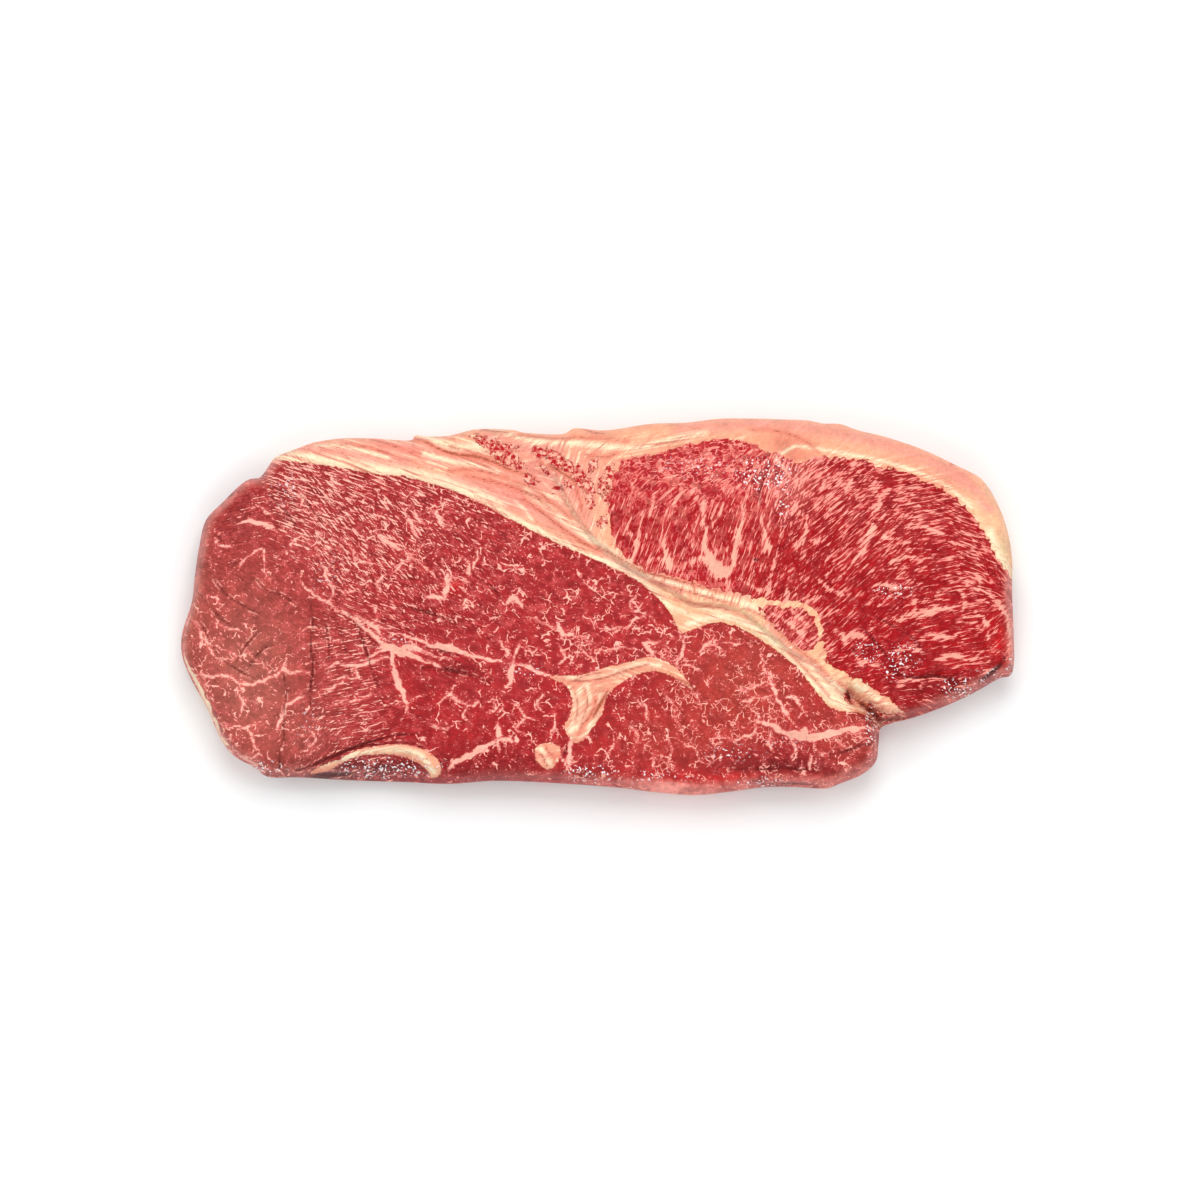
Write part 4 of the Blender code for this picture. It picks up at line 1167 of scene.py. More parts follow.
class Net:
    """Adds nodes to one node tree and joins them."""

    def __init__(self, tree):
        self.tree = tree

    def node(self, kind, inputs=None, **settings):
        node = self.tree.nodes.new(kind)
        for name, value in settings.items():
            setattr(node, name, value)
        for name, value in (inputs or {}).items():
            self.feed(node.inputs[name], value)
        return node

    def feed(self, socket, value):
        if isinstance(value, bpy.types.NodeSocket):
            self.tree.links.new(value, socket)
        else:
            socket.default_value = value

    def math(self, operation, first, second=0.0):
        return self.node("ShaderNodeMath", {0: first, 1: second}, operation=operation).outputs[0]

    def vector(self, operation, first, second):
        return self.node("ShaderNodeVectorMath", {0: first, 1: second}, operation=operation).outputs[0]

    def larger(self, first, second):
        return self.math("MAXIMUM", first, second)

    def add(self, first, second):
        return self.math("ADD", first, second)

    def times(self, first, second):
        return self.math("MULTIPLY", first, second)

    def minus(self, first, second):
        return self.math("SUBTRACT", first, second)

    def step(self, value, start, end, low=0.0, high=1.0):
        """Goes smoothly from low to high as the value goes from start to end."""
        inputs = {"Value": value, "From Min": start, "From Max": end, "To Min": low, "To Max": high}
        return self.node("ShaderNodeMapRange", inputs, interpolation_type="SMOOTHSTEP").outputs[0]

    def mix(self, share, first, second):
        """From the first colour to the second by the share."""
        return self.node("ShaderNodeMix", {0: share, 6: first, 7: second}, data_type="RGBA").outputs[2]

    def shade(self, colour, strength):
        """The colour made lighter or darker: strength 1 leaves it."""
        start = colour if isinstance(colour, bpy.types.NodeSocket) else colour[:3]
        node = self.node("ShaderNodeVectorMath", {0: start}, operation="SCALE")
        self.feed(node.inputs["Scale"], strength)
        return node.outputs[0]

    def noise(self, position, size, detail=2.0, roughness=0.5, distortion=0.0, output="Fac"):
        """Smooth noise whose features are about the given size in millimetres, centred on 0.5."""
        inputs = {
            "Vector": position, "Scale": 1.0 / size, "Detail": detail, "Roughness": roughness,
            "Distortion": distortion,
        }
        return self.node("ShaderNodeTexNoise", inputs).outputs[output]

    def cells(self, position, feature):
        """Cells of about size 1 round scattered points."""
        return self.node("ShaderNodeTexVoronoi", {"Vector": position, "Scale": 1.0}, feature=feature).outputs

    def channels(self, colour):
        return self.node("ShaderNodeSeparateColor", {0: colour}).outputs

    def attribute(self, name, output="Fac"):
        return self.node("ShaderNodeAttribute", attribute_name=name, attribute_type="GEOMETRY").outputs[output]

    def choose(self, share, first, second):
        """The first value where the share is 0, the second where it is 1."""
        return self.node("ShaderNodeMix", {0: share, 2: first, 3: second}, data_type="FLOAT").outputs[0]

    def moved(self, position, offset):
        return self.vector("ADD", position, offset)

    def warped(self, position, size, reach):
        """The position pushed about by up to the reach, so that straight things run crooked."""
        push = self.moved(self.noise(position, size, 1.0, output="Color"), (-0.5, -0.5, -0.5))
        return self.moved(position, self.shade(push, self.times(reach, 2.0)))

    def drawn_out(self, position, length, width):
        """The position divided by the length along the grain and by the width across it."""
        sizes = self.node("ShaderNodeCombineXYZ", {0: length, 1: width, 2: length}).outputs[0]
        return self.vector("DIVIDE", position, sizes)


def new_group(name, inputs, outputs):
    """An empty shader node group with the named sockets, and its net, its inputs and its output node."""
    tree = bpy.data.node_groups.new(name, "ShaderNodeTree")
    for label, kind, value in inputs:
        socket = tree.interface.new_socket(name=label, in_out="INPUT", socket_type=kind)
        if value is not None:
            socket.default_value = value
    for label, kind in outputs:
        tree.interface.new_socket(name=label, in_out="OUTPUT", socket_type=kind)
    net = Net(tree)
    return tree, net, tree.nodes.new("NodeGroupInput").outputs, tree.nodes.new("NodeGroupOutput").inputs


def grain_streaks_group():
    """Noise drawn out along the grain, from two fixed directions between which the grain lies. Centred on 0.5."""
    tree, net, given, result = new_group(
        "Grain streaks",
        (
            ("Along First", "NodeSocketVector", None), ("Along Second", "NodeSocketVector", None),
            ("First Share", "NodeSocketFloat", 1.0), ("Length", "NodeSocketFloat", 6.0),
            ("Width", "NodeSocketFloat", 1.0), ("Waviness", "NodeSocketFloat", 0.25),
        ),
        (("Streak", "NodeSocketFloat"),),
    )
    share = given["First Share"]
    other = net.minus(1.0, share)
    values = []
    for along in (given["Along First"], given["Along Second"]):
        drawn = net.drawn_out(along, given["Length"], given["Width"])
        values.append(net.minus(net.noise(drawn, 1.0, 2.0, 0.55, given["Waviness"]), 0.5))
    total = net.add(net.times(values[0], share), net.times(values[1], other))
    spread = net.math("SQRT", net.add(net.times(share, share), net.times(other, other)))
    net.feed(result["Streak"], net.add(net.math("DIVIDE", total, spread), 0.5))
    return tree


def vein_network_group():
    """Thin branching lines, as between cells, of which only a share is kept."""
    tree, net, given, result = new_group(
        "Vein network",
        (
            ("Position", "NodeSocketVector", None), ("Cell", "NodeSocketFloat", 4.0),
            ("Line Width", "NodeSocketFloat", 0.3), ("Keep", "NodeSocketFloat", 0.5),
        ),
        (("Line", "NodeSocketFloat"),),
    )
    place = net.warped(given["Position"], 3.2, 1.5)
    place = net.warped(place, 1.1, 0.35)
    shrunk = net.shade(place, net.math("DIVIDE", 1.0, given["Cell"]))
    distance = net.times(net.cells(shrunk, "DISTANCE_TO_EDGE")["Distance"], given["Cell"])
    uneven = net.noise(given["Position"], 1.7, 1.0)
    width = net.times(given["Line Width"], net.step(uneven, 0.3, 0.7, 0.35, 1.6))
    line = net.step(distance, net.times(width, 2.4), net.times(width, 0.3))
    kept = net.noise(net.moved(given["Position"], (31.0, 7.0, 3.0)), 4.0, 1.5)
    gate = net.step(given["Keep"], 0.0, 1.0, 0.74, 0.26)
    kept = net.step(kept, net.minus(gate, 0.035), net.add(gate, 0.035))
    net.feed(result["Line"], net.times(line, kept))
    return tree


def commas_group():
    """Short separate flecks, slightly bent, all slanting about the same way."""
    tree, net, given, result = new_group(
        "Comma flecks",
        (
            ("Position", "NodeSocketVector", None), ("Length", "NodeSocketFloat", 4.0),
            ("Width", "NodeSocketFloat", 1.6), ("Size", "NodeSocketFloat", 0.28), ("Keep", "NodeSocketFloat", 0.5),
        ),
        (("Fleck", "NodeSocketFloat"),),
    )
    place = net.warped(given["Position"], 2.3, 0.75)
    cells = net.cells(net.drawn_out(place, given["Length"], given["Width"]), "F1")
    chance = net.channels(cells["Color"])
    size = net.times(given["Size"], net.step(chance[0], 0.0, 1.0, 0.45, 1.35))
    shape = net.step(cells["Distance"], net.times(size, 1.15), net.times(size, 0.25))
    kept = net.math("LESS_THAN", chance[1], given["Keep"])
    net.feed(result["Fleck"], net.times(shape, kept))
    return tree


def pebbles_group():
    """Small rounded lumps side by side: the gap between them, and each one's own tone."""
    tree, net, given, result = new_group(
        "Pebbles",
        (
            ("Position", "NodeSocketVector", None), ("Cell", "NodeSocketFloat", 2.4),
            ("Gap Width", "NodeSocketFloat", 0.3),
        ),
        (("Gap", "NodeSocketFloat"), ("Tone", "NodeSocketFloat")),
    )
    place = net.warped(given["Position"], 1.5, 0.8)
    shrunk = net.shade(place, net.math("DIVIDE", 1.0, given["Cell"]))
    distance = net.times(net.cells(shrunk, "DISTANCE_TO_EDGE")["Distance"], given["Cell"])
    gap = net.step(distance, net.times(given["Gap Width"], 1.5), net.times(given["Gap Width"], 0.4))
    net.feed(result["Gap"], gap)
    net.feed(result["Tone"], net.channels(net.cells(shrunk, "F1")["Color"])[0])
    return tree


def raw_beef_material(colours, finish):
    """Moist raw beef: muscle with its marbling, fat with its streaks, veins, creases painted dark as shade, and white
    glints painted where it is wet.
    """
    material = bpy.data.materials.new("raw_beef")
    material.use_nodes = True
    tree = material.node_tree
    tree.nodes.clear()
    net = Net(tree)
    streaks, network, commas, pebbles = (
        grain_streaks_group(), vein_network_group(), commas_group(), pebbles_group(),
    )

    def group(kind, **inputs):
        node = net.node("ShaderNodeGroup", node_tree=kind)
        for label, value in inputs.items():
            net.feed(node.inputs[label.replace("_", " ")], value)
        return node.outputs

    def colour(name):
        return (*getattr(colours, name), 1.0)

    metres = net.node("ShaderNodeTexCoord").outputs["Object"]
    position = net.vector("MULTIPLY", metres, (1.0 / MM, 1.0 / MM, HEIGHT_SHARE / MM))
    depth = net.attribute("meat_depth")
    cap = net.attribute("cap_share")
    grain = {
        "Along_First": net.attribute("along_first", "Vector"),
        "Along_Second": net.attribute("along_second", "Vector"),
        "First_Share": net.attribute("first_share"),
    }
    vein_distance = net.attribute("vein_distance")
    crease_distance = net.attribute("crease_distance")
    cream = net.attribute("cream_share")
    salmon = net.attribute("salmon_share")
    glitter = net.attribute("glitter")
    side = net.attribute("side")
    amounts = net.channels(net.attribute("marbling", "Color"))
    extra = net.attribute("marbling", "Alpha")

    # Ragged borders
    coarse = net.minus(net.noise(position, 2.6, 2.0), 0.5)
    fine = net.minus(net.noise(position, 0.9, 1.0), 0.5)
    raggedness = net.step(cap, 0.0, 1.0, 0.9, 4.0)
    ragged = net.add(net.times(coarse, raggedness), fine)
    fat_share = net.step(net.add(depth, ragged), 0.22, -0.18)
    crease_share = net.step(net.add(crease_distance, net.times(fine, 0.6)), 0.24, -0.15)

    # The muscle's colour: fibres, slow patches, painted shade beside the creases, darker meat where it glitters, and a
    # lighter bloom round the fat
    fibre = group(streaks, Length=4.4, Width=0.55, **grain)["Streak"]
    in_cap = net.math("GREATER_THAN", cap, 0.5)
    in_fat = net.math("GREATER_THAN", fat_share, 0.5)
    length = net.choose(in_fat, net.choose(in_cap, 4.8, 5.4), 19.0)
    width = net.choose(in_fat, net.choose(in_cap, 0.60, 0.74), 1.05)
    waviness = net.choose(in_cap, 0.25, 0.8)
    streak = group(streaks, Length=length, Width=width, Waviness=waviness, **grain)["Streak"]
    fraying = net.times(net.minus(streak, 0.5), net.step(cap, 0.0, 1.0, -0.9, -5.5))
    vein_edge = net.add(net.add(vein_distance, fraying), net.add(net.times(fine, 0.7), net.times(coarse, 0.7)))
    vein_share = net.step(vein_edge, 0.40, -0.26)
    patches = net.noise(position, 5.0, 2.0, 0.6)
    mottle = net.noise(position, 1.3, 2.0, 0.6)
    lightness = net.step(patches, 0.25, 0.75, 0.78, 1.18)
    fibrous = net.add(amounts["Blue"], cap)
    fibre_depth = net.step(fibrous, 0.0, 0.5, 0.10, 0.9)
    lightness = net.times(lightness, net.add(1.0, net.times(net.minus(fibre, 0.5), fibre_depth)))
    lightness = net.times(lightness, net.step(mottle, 0.25, 0.75, 0.88, 1.12))
    # Painted shade: the meat darker next to each crease
    lightness = net.times(lightness, net.step(crease_distance, 0.9, 0.0, 1.0, 0.85))
    lightness = net.times(lightness, net.step(glitter, 0.2, 1.0, 1.0, 0.76))
    lean = net.shade(net.attribute("lean_tone", "Color"), lightness)
    bloom = net.times(net.step(coarse, -0.03, 0.20, 0.04, 0.42), net.step(fibrous, 0.0, 0.5, 0.45, 1.0))
    bloom = net.times(bloom, net.step(cap, 0.0, 1.0, 1.0, 0.35))
    lean = net.mix(bloom, lean, colour("fleck_pink"))

    # Marbling of the muscles
    large = net.minus(1.0, cap)
    by_vein = net.step(vein_distance, 2.6, 0.0, 0.0, 0.08)
    keep = net.add(amounts["Red"], by_vein)
    branches = group(network, Position=position, Cell=4.8, Line_Width=0.12, Keep=keep)["Line"]
    crackle = group(
        network, Position=net.moved(position, (57.0, 23.0, 9.0)), Cell=2.0, Line_Width=0.075,
        Keep=net.add(net.times(extra, large), by_vein),
    )["Line"]
    commas_first = net.times(amounts["Green"], net.step(grain["First_Share"], 0.3, 0.7))
    commas_second = net.times(amounts["Green"], net.step(grain["First_Share"], 0.7, 0.3))
    slanted = group(commas, Position=grain["Along_First"], Length=3.6, Width=1.5, Size=0.25, Keep=commas_first)["Fleck"]
    other = group(commas, Position=grain["Along_Second"], Length=3.6, Width=1.5, Size=0.25, Keep=commas_second)["Fleck"]
    specks = net.step(net.noise(position, 0.62, 1.0), 0.60, 0.70)
    specks = net.times(specks, net.step(coarse, -0.10, 0.08, 0.05, 0.75))
    flecks = net.larger(net.larger(branches, specks), net.times(crackle, 0.85))
    flecks = net.larger(flecks, net.times(net.larger(slanted, other), 0.8))
    flecks = net.times(flecks, net.step(cap, 0.0, 1.0, 1.0, 0.4))
    hair_gate = net.step(amounts["Blue"], 0.0, 1.0, 0.77, 0.47)
    hairs = net.step(streak, net.minus(hair_gate, 0.05), net.add(hair_gate, 0.07))
    soft_flecks = net.times(net.step(fibre, 0.54, 0.70), net.times(fibre_depth, 0.5))
    hairs = net.times(net.larger(hairs, soft_flecks), net.step(cap, 0.0, 0.6, 1.0, 0.0))
    cap_gate = net.step(amounts["Blue"], 0.0, 1.0, 0.76, 0.44)
    cap_gate = net.minus(cap_gate, net.times(net.minus(patches, 0.5), 0.3))
    cap_flecks = net.step(streak, net.minus(cap_gate, 0.09), net.add(cap_gate, 0.09))
    thin_flecks = net.step(fibre, net.minus(cap_gate, 0.02), net.add(cap_gate, 0.12))
    cap_flecks = net.larger(cap_flecks, net.times(thin_flecks, 0.7))
    cap_flecks = net.times(cap_flecks, net.step(cap, 0.4, 1.0))
    gate = net.choose(cap, hair_gate, cap_gate)
    # Painted shade: the meat darker along the flecks' edges and a little lighter away from them
    painted_shade_beside_flecks = net.step(streak, net.minus(gate, 0.24), net.minus(gate, 0.05), 1.04, 0.80)
    lean = net.shade(lean, painted_shade_beside_flecks)
    pebble_share = net.times(extra, cap)
    lumps = group(pebbles, Position=position, Cell=1.9, Gap_Width=0.17)
    lump_tone = net.times(net.step(lumps["Tone"], 0.6, 1.0), net.step(patches, 0.35, 0.65, 0.4, 1.0))
    pebble_colour = net.mix(lump_tone, colour("lean_lump"), colour("lean_rose"))
    lean = net.mix(net.times(net.step(pebble_share, 0.05, 0.9), 0.9), lean, net.shade(pebble_colour, lightness))
    pebble_gaps = net.times(net.times(lumps["Gap"], pebble_share), net.step(coarse, -0.12, 0.12, 0.15, 0.9))
    fleck_colour = net.mix(cap, colour("fleck_large"), colour("fleck_cap"))
    all_flecks = net.larger(net.larger(flecks, hairs), net.larger(cap_flecks, pebble_gaps))
    fleck_core = net.mix(net.step(all_flecks, 0.45, 0.95), colour("fleck_pink"), fleck_colour)
    meat = net.mix(net.step(all_flecks, 0.0, 0.7, 0.0, 0.95), lean, fleck_core)

    # The fat's colour: slow patches, streaks along the seam, pale ridges and salmon channels
    fat_patches = net.noise(position, 7.0, 2.0, 0.55)
    fat =net.attribute("fat_tone", "Color")
    fat = net.mix(net.times(salmon, net.step(streak, 0.3, 0.6, 0.45, 1.0)), fat, colour("fat_salmon"))
    cream_mix = net.times(cream, net.step(streak, 0.30, 0.52, 0.35, 1.0))
    fat = net.mix(cream_mix, fat, colour("fat_cream"))
    off_rim = net.step(net.attribute("rim_share"), 0.25, 0.7, 1.0, 0.12)
    fat = net.mix(net.times(net.step(streak, 0.46, 0.34, 0.0, 0.55), off_rim), fat, colour("fat_salmon"))
    fat = net.mix(net.times(net.step(streak, 0.54, 0.66, 0.0, 0.7), off_rim), fat, colour("fat_cream"))
    fat_light = net.times(net.step(fat_patches, 0.25, 0.75, 0.88, 1.08), net.step(mottle, 0.2, 0.8, 0.88, 1.09))
    # Painted shade: the fat goes pink-brown towards the creases
    fat = net.mix(net.step(crease_distance, 1.3, 0.0, 0.0, 0.65), net.shade(fat, fat_light), colour("fat_rose"))
    in_seam = net.times(net.step(net.larger(cream, salmon), 0.1, 0.6, 0.5, 1.0), net.math("SQRT", off_rim))
    broad_lines = net.times(net.step(streak, 0.42, 0.30), net.times(in_seam, 0.6))
    thin_lines = net.step(net.math("ABSOLUTE", net.minus(streak, 0.44)), 0.016, 0.004)
    thin_lines = net.times(net.times(thin_lines, in_seam), net.step(fat_patches, 0.42, 0.54, 0.0, 0.9))
    pits = net.times(net.step(fine, 0.0, 0.14, 0.0, 0.5), net.step(in_seam, 0.5, 1.0, 1.0, 0.4))
    pits = net.times(pits, net.times(net.step(coarse, -0.02, 0.12), net.step(off_rim, 0.0, 1.0, 0.5, 1.0)))
    fat = net.mix(net.larger(net.larger(broad_lines, thin_lines), pits), fat, colour("fat_line"))
    blotch_edge = net.add(net.attribute("blotch_depth"), net.add(net.times(coarse, 3.4), net.times(fine, 1.8)))
    blotch_meat = net.mix(net.step(mottle, 0.50, 0.60), colour("lean_lump"), colour("fat_vein"))
    blotch_meat = net.shade(blotch_meat, net.step(blotch_edge, 0.0, 0.6, 0.7, 1.08))
    blotch = net.times(net.step(blotch_edge, -0.15, 0.05), net.step(lumps["Gap"], 0.0, 1.0, 1.0, 0.5))
    fat = net.mix(blotch, fat, blotch_meat)
    vein_colour = net.mix(net.step(vein_distance, -0.15, -0.8), fleck_colour, colour("fat_vein"))
    vein_colour = net.mix(cream, vein_colour, colour("fat_cream"))
    vein_colour = net.mix(net.step(vein_edge, 0.1, -0.35), colour("fleck_pink"), net.shade(vein_colour, fat_light))

    # All together, with the membrane on the side, a painted highlight along the creases' edges, the creases painted
    # dark as shade, and white glints painted where it is wet
    surface = net.mix(fat_share, meat, fat)
    surface = net.mix(net.times(vein_share, net.step(fat_share, 0.0, 0.7, 0.95, 0.25)), surface, vein_colour)
    membrane = net.times(side, net.step(patches, 0.30, 0.60, 0.4, 1.0))
    membrane = net.times(membrane, net.step(net.larger(fat_share, vein_share), 0.0, 1.0, 1.0, 0.15))
    surface = net.mix(membrane, surface, net.shade(colour("membrane"), lightness))
    # Painted highlight: a pale line along each crease's edge in the large muscles, as light on a raised ridge
    raised = net.step(net.math("ABSOLUTE", net.minus(crease_distance, 0.55)), 0.30, 0.05)
    raised = net.times(raised, net.step(coarse, 0.0, 0.14, 0.0, 0.45))
    surface = net.mix(net.times(raised, net.minus(large, fat_share)), surface, fleck_colour)
    # Painted shade: each crease filled with a dark colour, darkest along its middle
    crease_shade_colour = net.mix(net.minus(fat_share, blotch), colour("crease_lean"), colour("crease_fat"))
    crease_shade_depth = net.step(crease_distance, 0.1, -0.5, 0.65, 1.0)
    surface = net.mix(net.times(crease_share, crease_shade_depth), surface, crease_shade_colour)
    # Painted highlight: white glints where the meat is wet
    painted_glint = net.step(net.add(fine, net.times(glitter, 0.05)), 0.15, 0.18)
    painted_glint = net.times(painted_glint, net.step(glitter, 0.1, 0.5))
    surface = net.mix(painted_glint, surface, colour("wet_glint"))

    # Relief finer than the mesh
    height = net.times(fibre, net.times(fibre_depth, 0.35))
    height = net.add(height, net.times(fine, net.step(glitter, 0.0, 0.8, 0.30, 0.9)))
    height = net.minus(height, net.times(crease_share, 0.15))
    bump = net.node("ShaderNodeBump", {"Height": height, "Strength": 1.0, "Distance": MM})

    shader = net.node("ShaderNodeBsdfPrincipled")
    net.feed(shader.inputs["Base Color"], surface)
    gloss = net.step(fat_share, 0.0, 1.0, finish.lean_roughness, finish.fat_roughness)
    net.feed(shader.inputs["Roughness"], net.minus(gloss, net.times(glitter, 0.12)))
    net.feed(shader.inputs["Normal"], bump.outputs[0])
    shader.inputs["Specular IOR Level"].default_value = 0.10
    shader.inputs["Coat Weight"].default_value = finish.wet_film
    shader.inputs["Coat Roughness"].default_value = 0.16
    output = tree.nodes.new("ShaderNodeOutputMaterial")
    tree.links.new(shader.outputs[0], output.inputs["Surface"])
    return material


def white_floor_material(colour):
    material = bpy.data.materials.new("white_floor")
    material.use_nodes = True
    shader = material.node_tree.nodes["Principled BSDF"]
    shader.inputs["Base Color"].default_value = (*colour, 1.0)
    shader.inputs["Roughness"].default_value = 0.9
    shader.inputs["Specular IOR Level"].default_value = 0.0
    return material


# Settings


def colour_property(label, picked, description):
    return FloatVectorProperty(
        name=label, description=description, subtype="COLOR", size=3, min=0.0, max=1.0, default=srgb(*picked)
    )


COLOURS = {
    "lean_red": ("Large muscle", (162, 32, 36), "Ground colour of the large muscle"),
    "lean_brown": ("Brown lobe", (164, 86, 74), "Left lobe, browned by the air"),
    # Painted shade: the large muscle's upper left corner made darker
    "lean_shadow": ("Dull red", (138, 30, 30), "Duller meat at the upper left"),
    "lean_pink": ("Pink lean", (176, 60, 58), "Paler, more fibrous meat"),
    "lean_rose": ("Fat-rich lean", (232, 132, 116), "Meat with much fat in it"),
    "lean_lump": ("Red lumps", (178, 26, 36), "Lumps of meat in fat"),
    "lean_deep": ("Deep red", (158, 22, 28), "Deeper red meat"),
    # Dark meat, and painted shade in the hollows, the cleft, the dark crease and under the front edge
    "lean_dark": ("Dark red", (108, 8, 14), "Dark meat by the front edge"),
    "lean_dun": ("Dun red", (168, 58, 48), "Small front muscle"),
    "lean_bright": ("Bright red", (212, 16, 20), "Bright spot between the veins"),
    # Painted shade: the hollow under the fat arch and in the cleft
    "hollow": ("Hollow", (36, 4, 6), "Meat in deep shade"),
    "cap_red": ("Cap muscle", (166, 4, 16), "Ground colour of the cap muscle"),
    "fleck_pink": ("Pink flecks", (220, 96, 94), "Fat that shows through a thin layer of meat"),
    "fleck_large": ("Pale flecks", (250, 186, 168), "Marbling of the large muscle"),
    "fleck_cap": ("Cap flecks", (252, 164, 148), "Marbling of the cap muscle"),
    "fat_peach": ("Rim fat", (250, 174, 138), "Fat rim"),
    "fat_salmon": ("Salmon fat", (244, 156, 140), "Fat pocket and channels"),
    "fat_yellow": ("Yellow fat", (250, 208, 160), "Yellower fat"),
    "fat_tan": ("Tan fat", (240, 160, 134), "Duller fat of the fork and the arch"),
    # Pink fat, and also the painted shade in the fat beside creases
    "fat_rose": ("Pink fat", (224, 122, 102), "Fat tinted by the meat"),
    "fat_cream": ("Cream fat", (254, 235, 198), "Pale ridges of the fat"),
    "fat_vein": ("Fat in veins", (244, 178, 156), "Broad veins of fat"),
    "fat_line": ("Lines in fat", (194, 100, 76), "Thin brown lines along the fat"),
    "membrane": ("Membrane", (252, 160, 146), "Pale skin on the side"),
    # Painted shade inside the creases, in the meat and in the fat
    "crease_lean": ("Crease in meat", (88, 16, 16), "Dark of a crease in the meat"),
    "crease_fat": ("Crease in fat", (160, 78, 52), "Dark of a crease in the fat"),
    # Painted highlight: tiny white glints where the meat is wettest
    "wet_glint": ("Wet glint", (255, 246, 248), "Tiny glitter where the meat is wettest"),
}


class SteakSizes(bpy.types.PropertyGroup):
    length: FloatProperty(
        name="Length", description="Along the slice", unit="LENGTH", min=0.05,
        default=HIGH_CORNER.x - LOW_CORNER.x,
    )
    width: FloatProperty(
        name="Width", description="From the front edge to the fat rim", unit="LENGTH", min=0.03,
        default=HIGH_CORNER.y - LOW_CORNER.y,
    )
    height: FloatProperty(
        name="Height", description="From the resting face to the top of the cap muscle", unit="LENGTH", min=0.005,
        default=HIGH_CORNER.z - LOW_CORNER.z,
    )


class SteakColours(bpy.types.PropertyGroup):
    __annotations__ = {name: colour_property(*about) for name, about in COLOURS.items()}


class SteakFinish(bpy.types.PropertyGroup):
    lean_roughness: FloatProperty(
        name="Lean Roughness", description="How dull the muscle is", subtype="FACTOR", min=0.0, max=1.0, default=0.42
    )
    fat_roughness: FloatProperty(
        name="Fat Roughness", description="How dull the fat is", subtype="FACTOR", min=0.0, max=1.0, default=0.50
    )
    wet_film: FloatProperty(
        name="Wet Film", description="How wet the surface is", subtype="FACTOR", min=0.0, max=1.0, default=0.03
    )


class SteakStage(bpy.types.PropertyGroup):
    elevation: FloatProperty(
        name="Camera Elevation", description="How steeply the camera looks down", subtype="ANGLE",
        default=math.radians(85.0),
    )
    distance: FloatProperty(
        name="Camera Distance", description="From the steak to the camera", unit="LENGTH", default=2.0
    )
    frame_width: FloatProperty(
        name="Frame Width", description="What the picture is wide at the steak", unit="LENGTH", default=0.4022
    )
    floor_colour: FloatVectorProperty(
        name="Floor Colour", description="White, less the red that the meat throws on it", subtype="COLOR", size=3,
        min=0.0, max=1.0, default=(0.91, 0.94, 0.94),
    )
    key_power: FloatProperty(name="Key Light", description="Soft light from behind", unit="POWER", default=7.0)
    fill_power: FloatProperty(name="Fill Lights", description="Each soft light at the sides", unit="POWER", default=3.0)
    front_power: FloatProperty(name="Front Light", description="Soft light from the front", unit="POWER", default=4.4)
    surround: FloatProperty(name="Surround", description="Light from all round", min=0.0, default=0.36)


# Operators


class STEAK_OT_build_slice(bpy.types.Operator):
    """Build the slice of meat in place of its solid"""

    bl_idname = "steak.build_slice"
    bl_label = "Build Slice"

    def execute(self, context):
        scene = context.scene
        steak = build_slice(scene.steak_sizes)
        steak.data.materials.append(raw_beef_material(scene.steak_colours, scene.steak_finish))
        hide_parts("steak")
        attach(steak, "root")
        return {"FINISHED"}


# The lights: name, azimuth and elevation in degrees, distance and size in metres, and the setting of its power
LIGHTS = (
    ("key_light", 176.0, 58.0, 1.15, 0.75, "key_power"),
    ("left_fill", -95.0, 48.0, 1.2, 0.8, "fill_power"),
    ("right_fill", 95.0, 48.0, 1.2, 0.8, "fill_power"),
    ("front_fill", 0.0, 50.0, 1.2, 0.8, "front_power"),
)

# In metres: half the floor's width, the gap below the steak that keeps the two apart, and where the camera looks
FLOOR_REACH = 3.0
FLOOR_GAP = 0.0002
CAMERA_TARGET = (0.00084, 0.0016, 0.016)


def add_area_light(name, azimuth, elevation, distance, size, power):
    """A square soft light that faces the steak. Azimuth 0 is in front of it, and 90 to its right."""
    light = bpy.data.lights.new(name, "AREA")
    light.size = size
    light.energy = power
    lamp = bpy.data.objects.new(name, light)
    turn, lift = math.radians(azimuth), math.radians(elevation)
    lamp.location = (
        distance * math.sin(turn) * math.cos(lift),
        -distance * math.cos(turn) * math.cos(lift),
        distance * math.sin(lift),
    )
    lamp.rotation_euler = (-Vector(lamp.location)).to_track_quat("-Z", "Y").to_euler()
    bpy.context.scene.collection.objects.link(lamp)
    return lamp


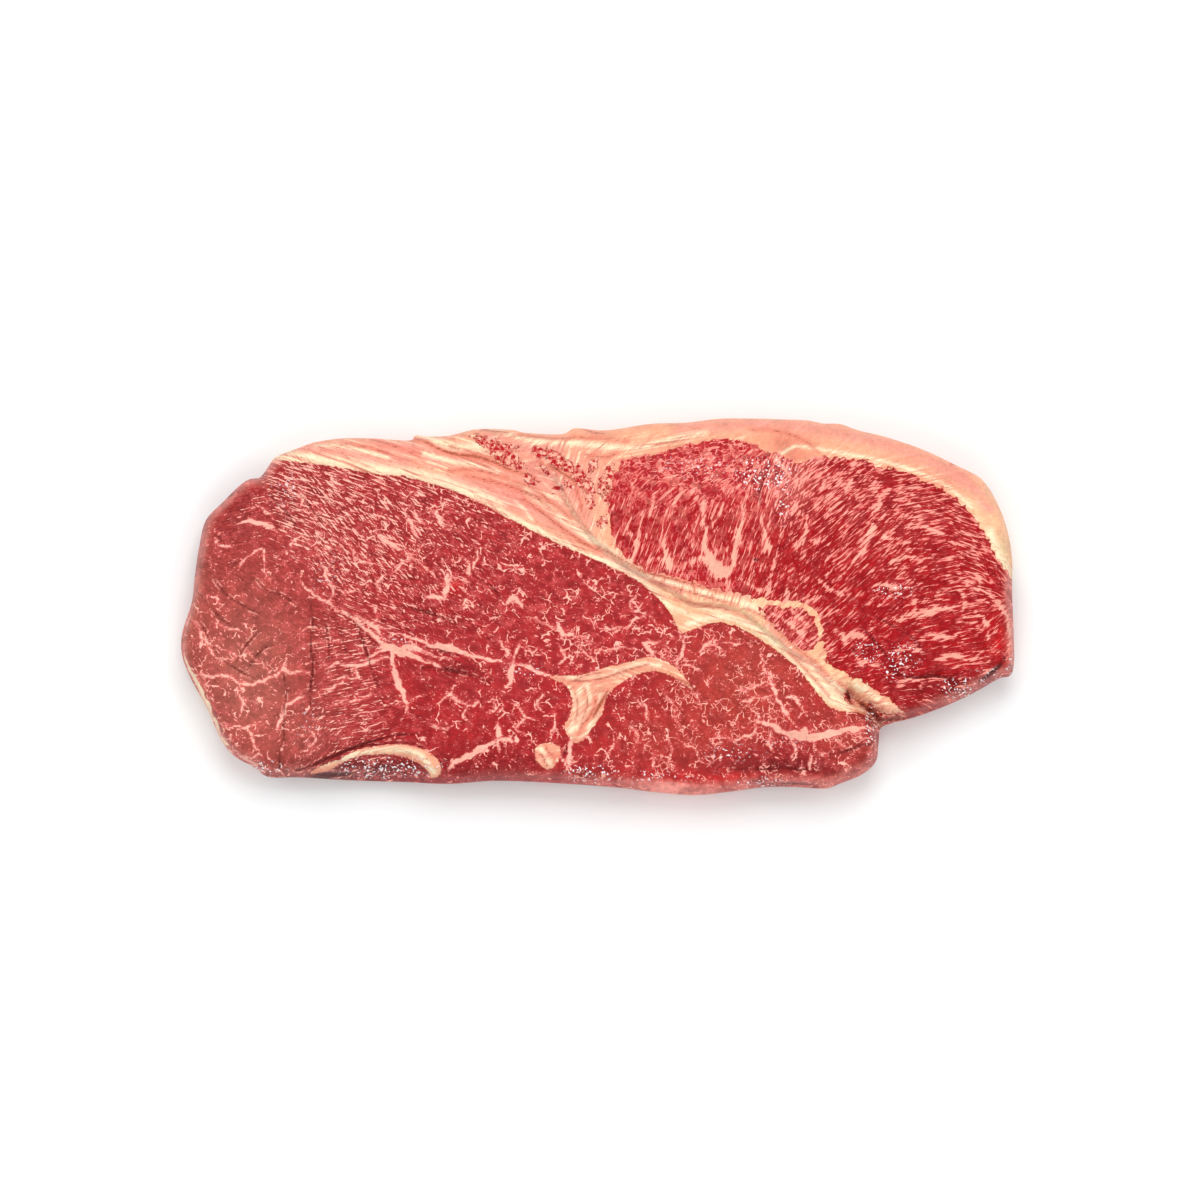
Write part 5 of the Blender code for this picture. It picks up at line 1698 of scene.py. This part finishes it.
class STEAK_OT_build_stage(bpy.types.Operator):
    """Add the white floor, the soft lights and the camera"""

    bl_idname = "steak.build_stage"
    bl_label = "Build Stage"

    def execute(self, context):
        scene = context.scene
        stage = scene.steak_stage
        bm = bmesh.new()
        bmesh.ops.create_grid(bm, x_segments=1, y_segments=1, size=FLOOR_REACH)
        mesh = bpy.data.meshes.new("floor")
        bm.to_mesh(mesh)
        bm.free()
        mesh.materials.append(white_floor_material(stage.floor_colour))
        floor = bpy.data.objects.new("floor", mesh)
        floor.location.z = -FLOOR_GAP
        scene.collection.objects.link(floor)
        lamps = [add_area_light(*light, getattr(stage, power)) for *light, power in LIGHTS]
        world = bpy.data.worlds.new("soft_surround")
        world.use_nodes = True
        background = world.node_tree.nodes["Background"]
        background.inputs["Color"].default_value = (1.0, 1.0, 1.0, 1.0)
        background.inputs["Strength"].default_value = stage.surround
        scene.world = world
        data = bpy.data.cameras.new("camera")
        data.sensor_width = 36.0
        data.lens = data.sensor_width * stage.distance / stage.frame_width
        data.clip_start = 0.01
        camera = bpy.data.objects.new("camera", data)
        back = Vector((0.0, -math.cos(stage.elevation), math.sin(stage.elevation)))
        camera.location = Vector(CAMERA_TARGET) + stage.distance * back
        camera.rotation_euler = (math.pi / 2 - stage.elevation, 0.0, 0.0)
        scene.collection.objects.link(camera)
        scene.camera = camera
        scene.view_settings.view_transform = "Standard"
        scene.view_settings.look = "None"
        return {"FINISHED"}


class STEAK_PT_panel(bpy.types.Panel):
    """Sizes, colours and stage of the steak"""

    bl_idname = "STEAK_PT_panel"
    bl_label = "Raw Sirloin Steak"
    bl_space_type = "VIEW_3D"
    bl_region_type = "UI"
    bl_category = "Steak"

    def draw(self, context):
        scene, layout = context.scene, self.layout
        for title, settings, operator in (
            ("Size", scene.steak_sizes, None),
            ("Colours", scene.steak_colours, None),
            ("Finish", scene.steak_finish, STEAK_OT_build_slice),
            ("Stage", scene.steak_stage, STEAK_OT_build_stage),
        ):
            box = layout.box()
            box.label(text=title)
            for name in settings.bl_rna.properties.keys():
                if name not in {"rna_type", "name"}:
                    box.prop(settings, name)
            if operator is not None:
                box.operator(operator.bl_idname)


CLASSES = (
    SteakSizes, SteakColours, SteakFinish, SteakStage, STEAK_OT_build_slice, STEAK_OT_build_stage, STEAK_PT_panel,
)
SETTINGS = (
    ("steak_sizes", SteakSizes), ("steak_colours", SteakColours), ("steak_finish", SteakFinish),
    ("steak_stage", SteakStage),
)


def register():
    for cls in CLASSES:
        bpy.utils.register_class(cls)
    for name, kind in SETTINGS:
        setattr(bpy.types.Scene, name, PointerProperty(type=kind))


def unregister():
    for name, _ in SETTINGS:
        delattr(bpy.types.Scene, name)
    for cls in reversed(CLASSES):
        bpy.utils.unregister_class(cls)


def main():
    register()
    bpy.ops.steak.build_slice()
    bpy.ops.steak.build_stage()


if __name__ == "__main__":
    main()
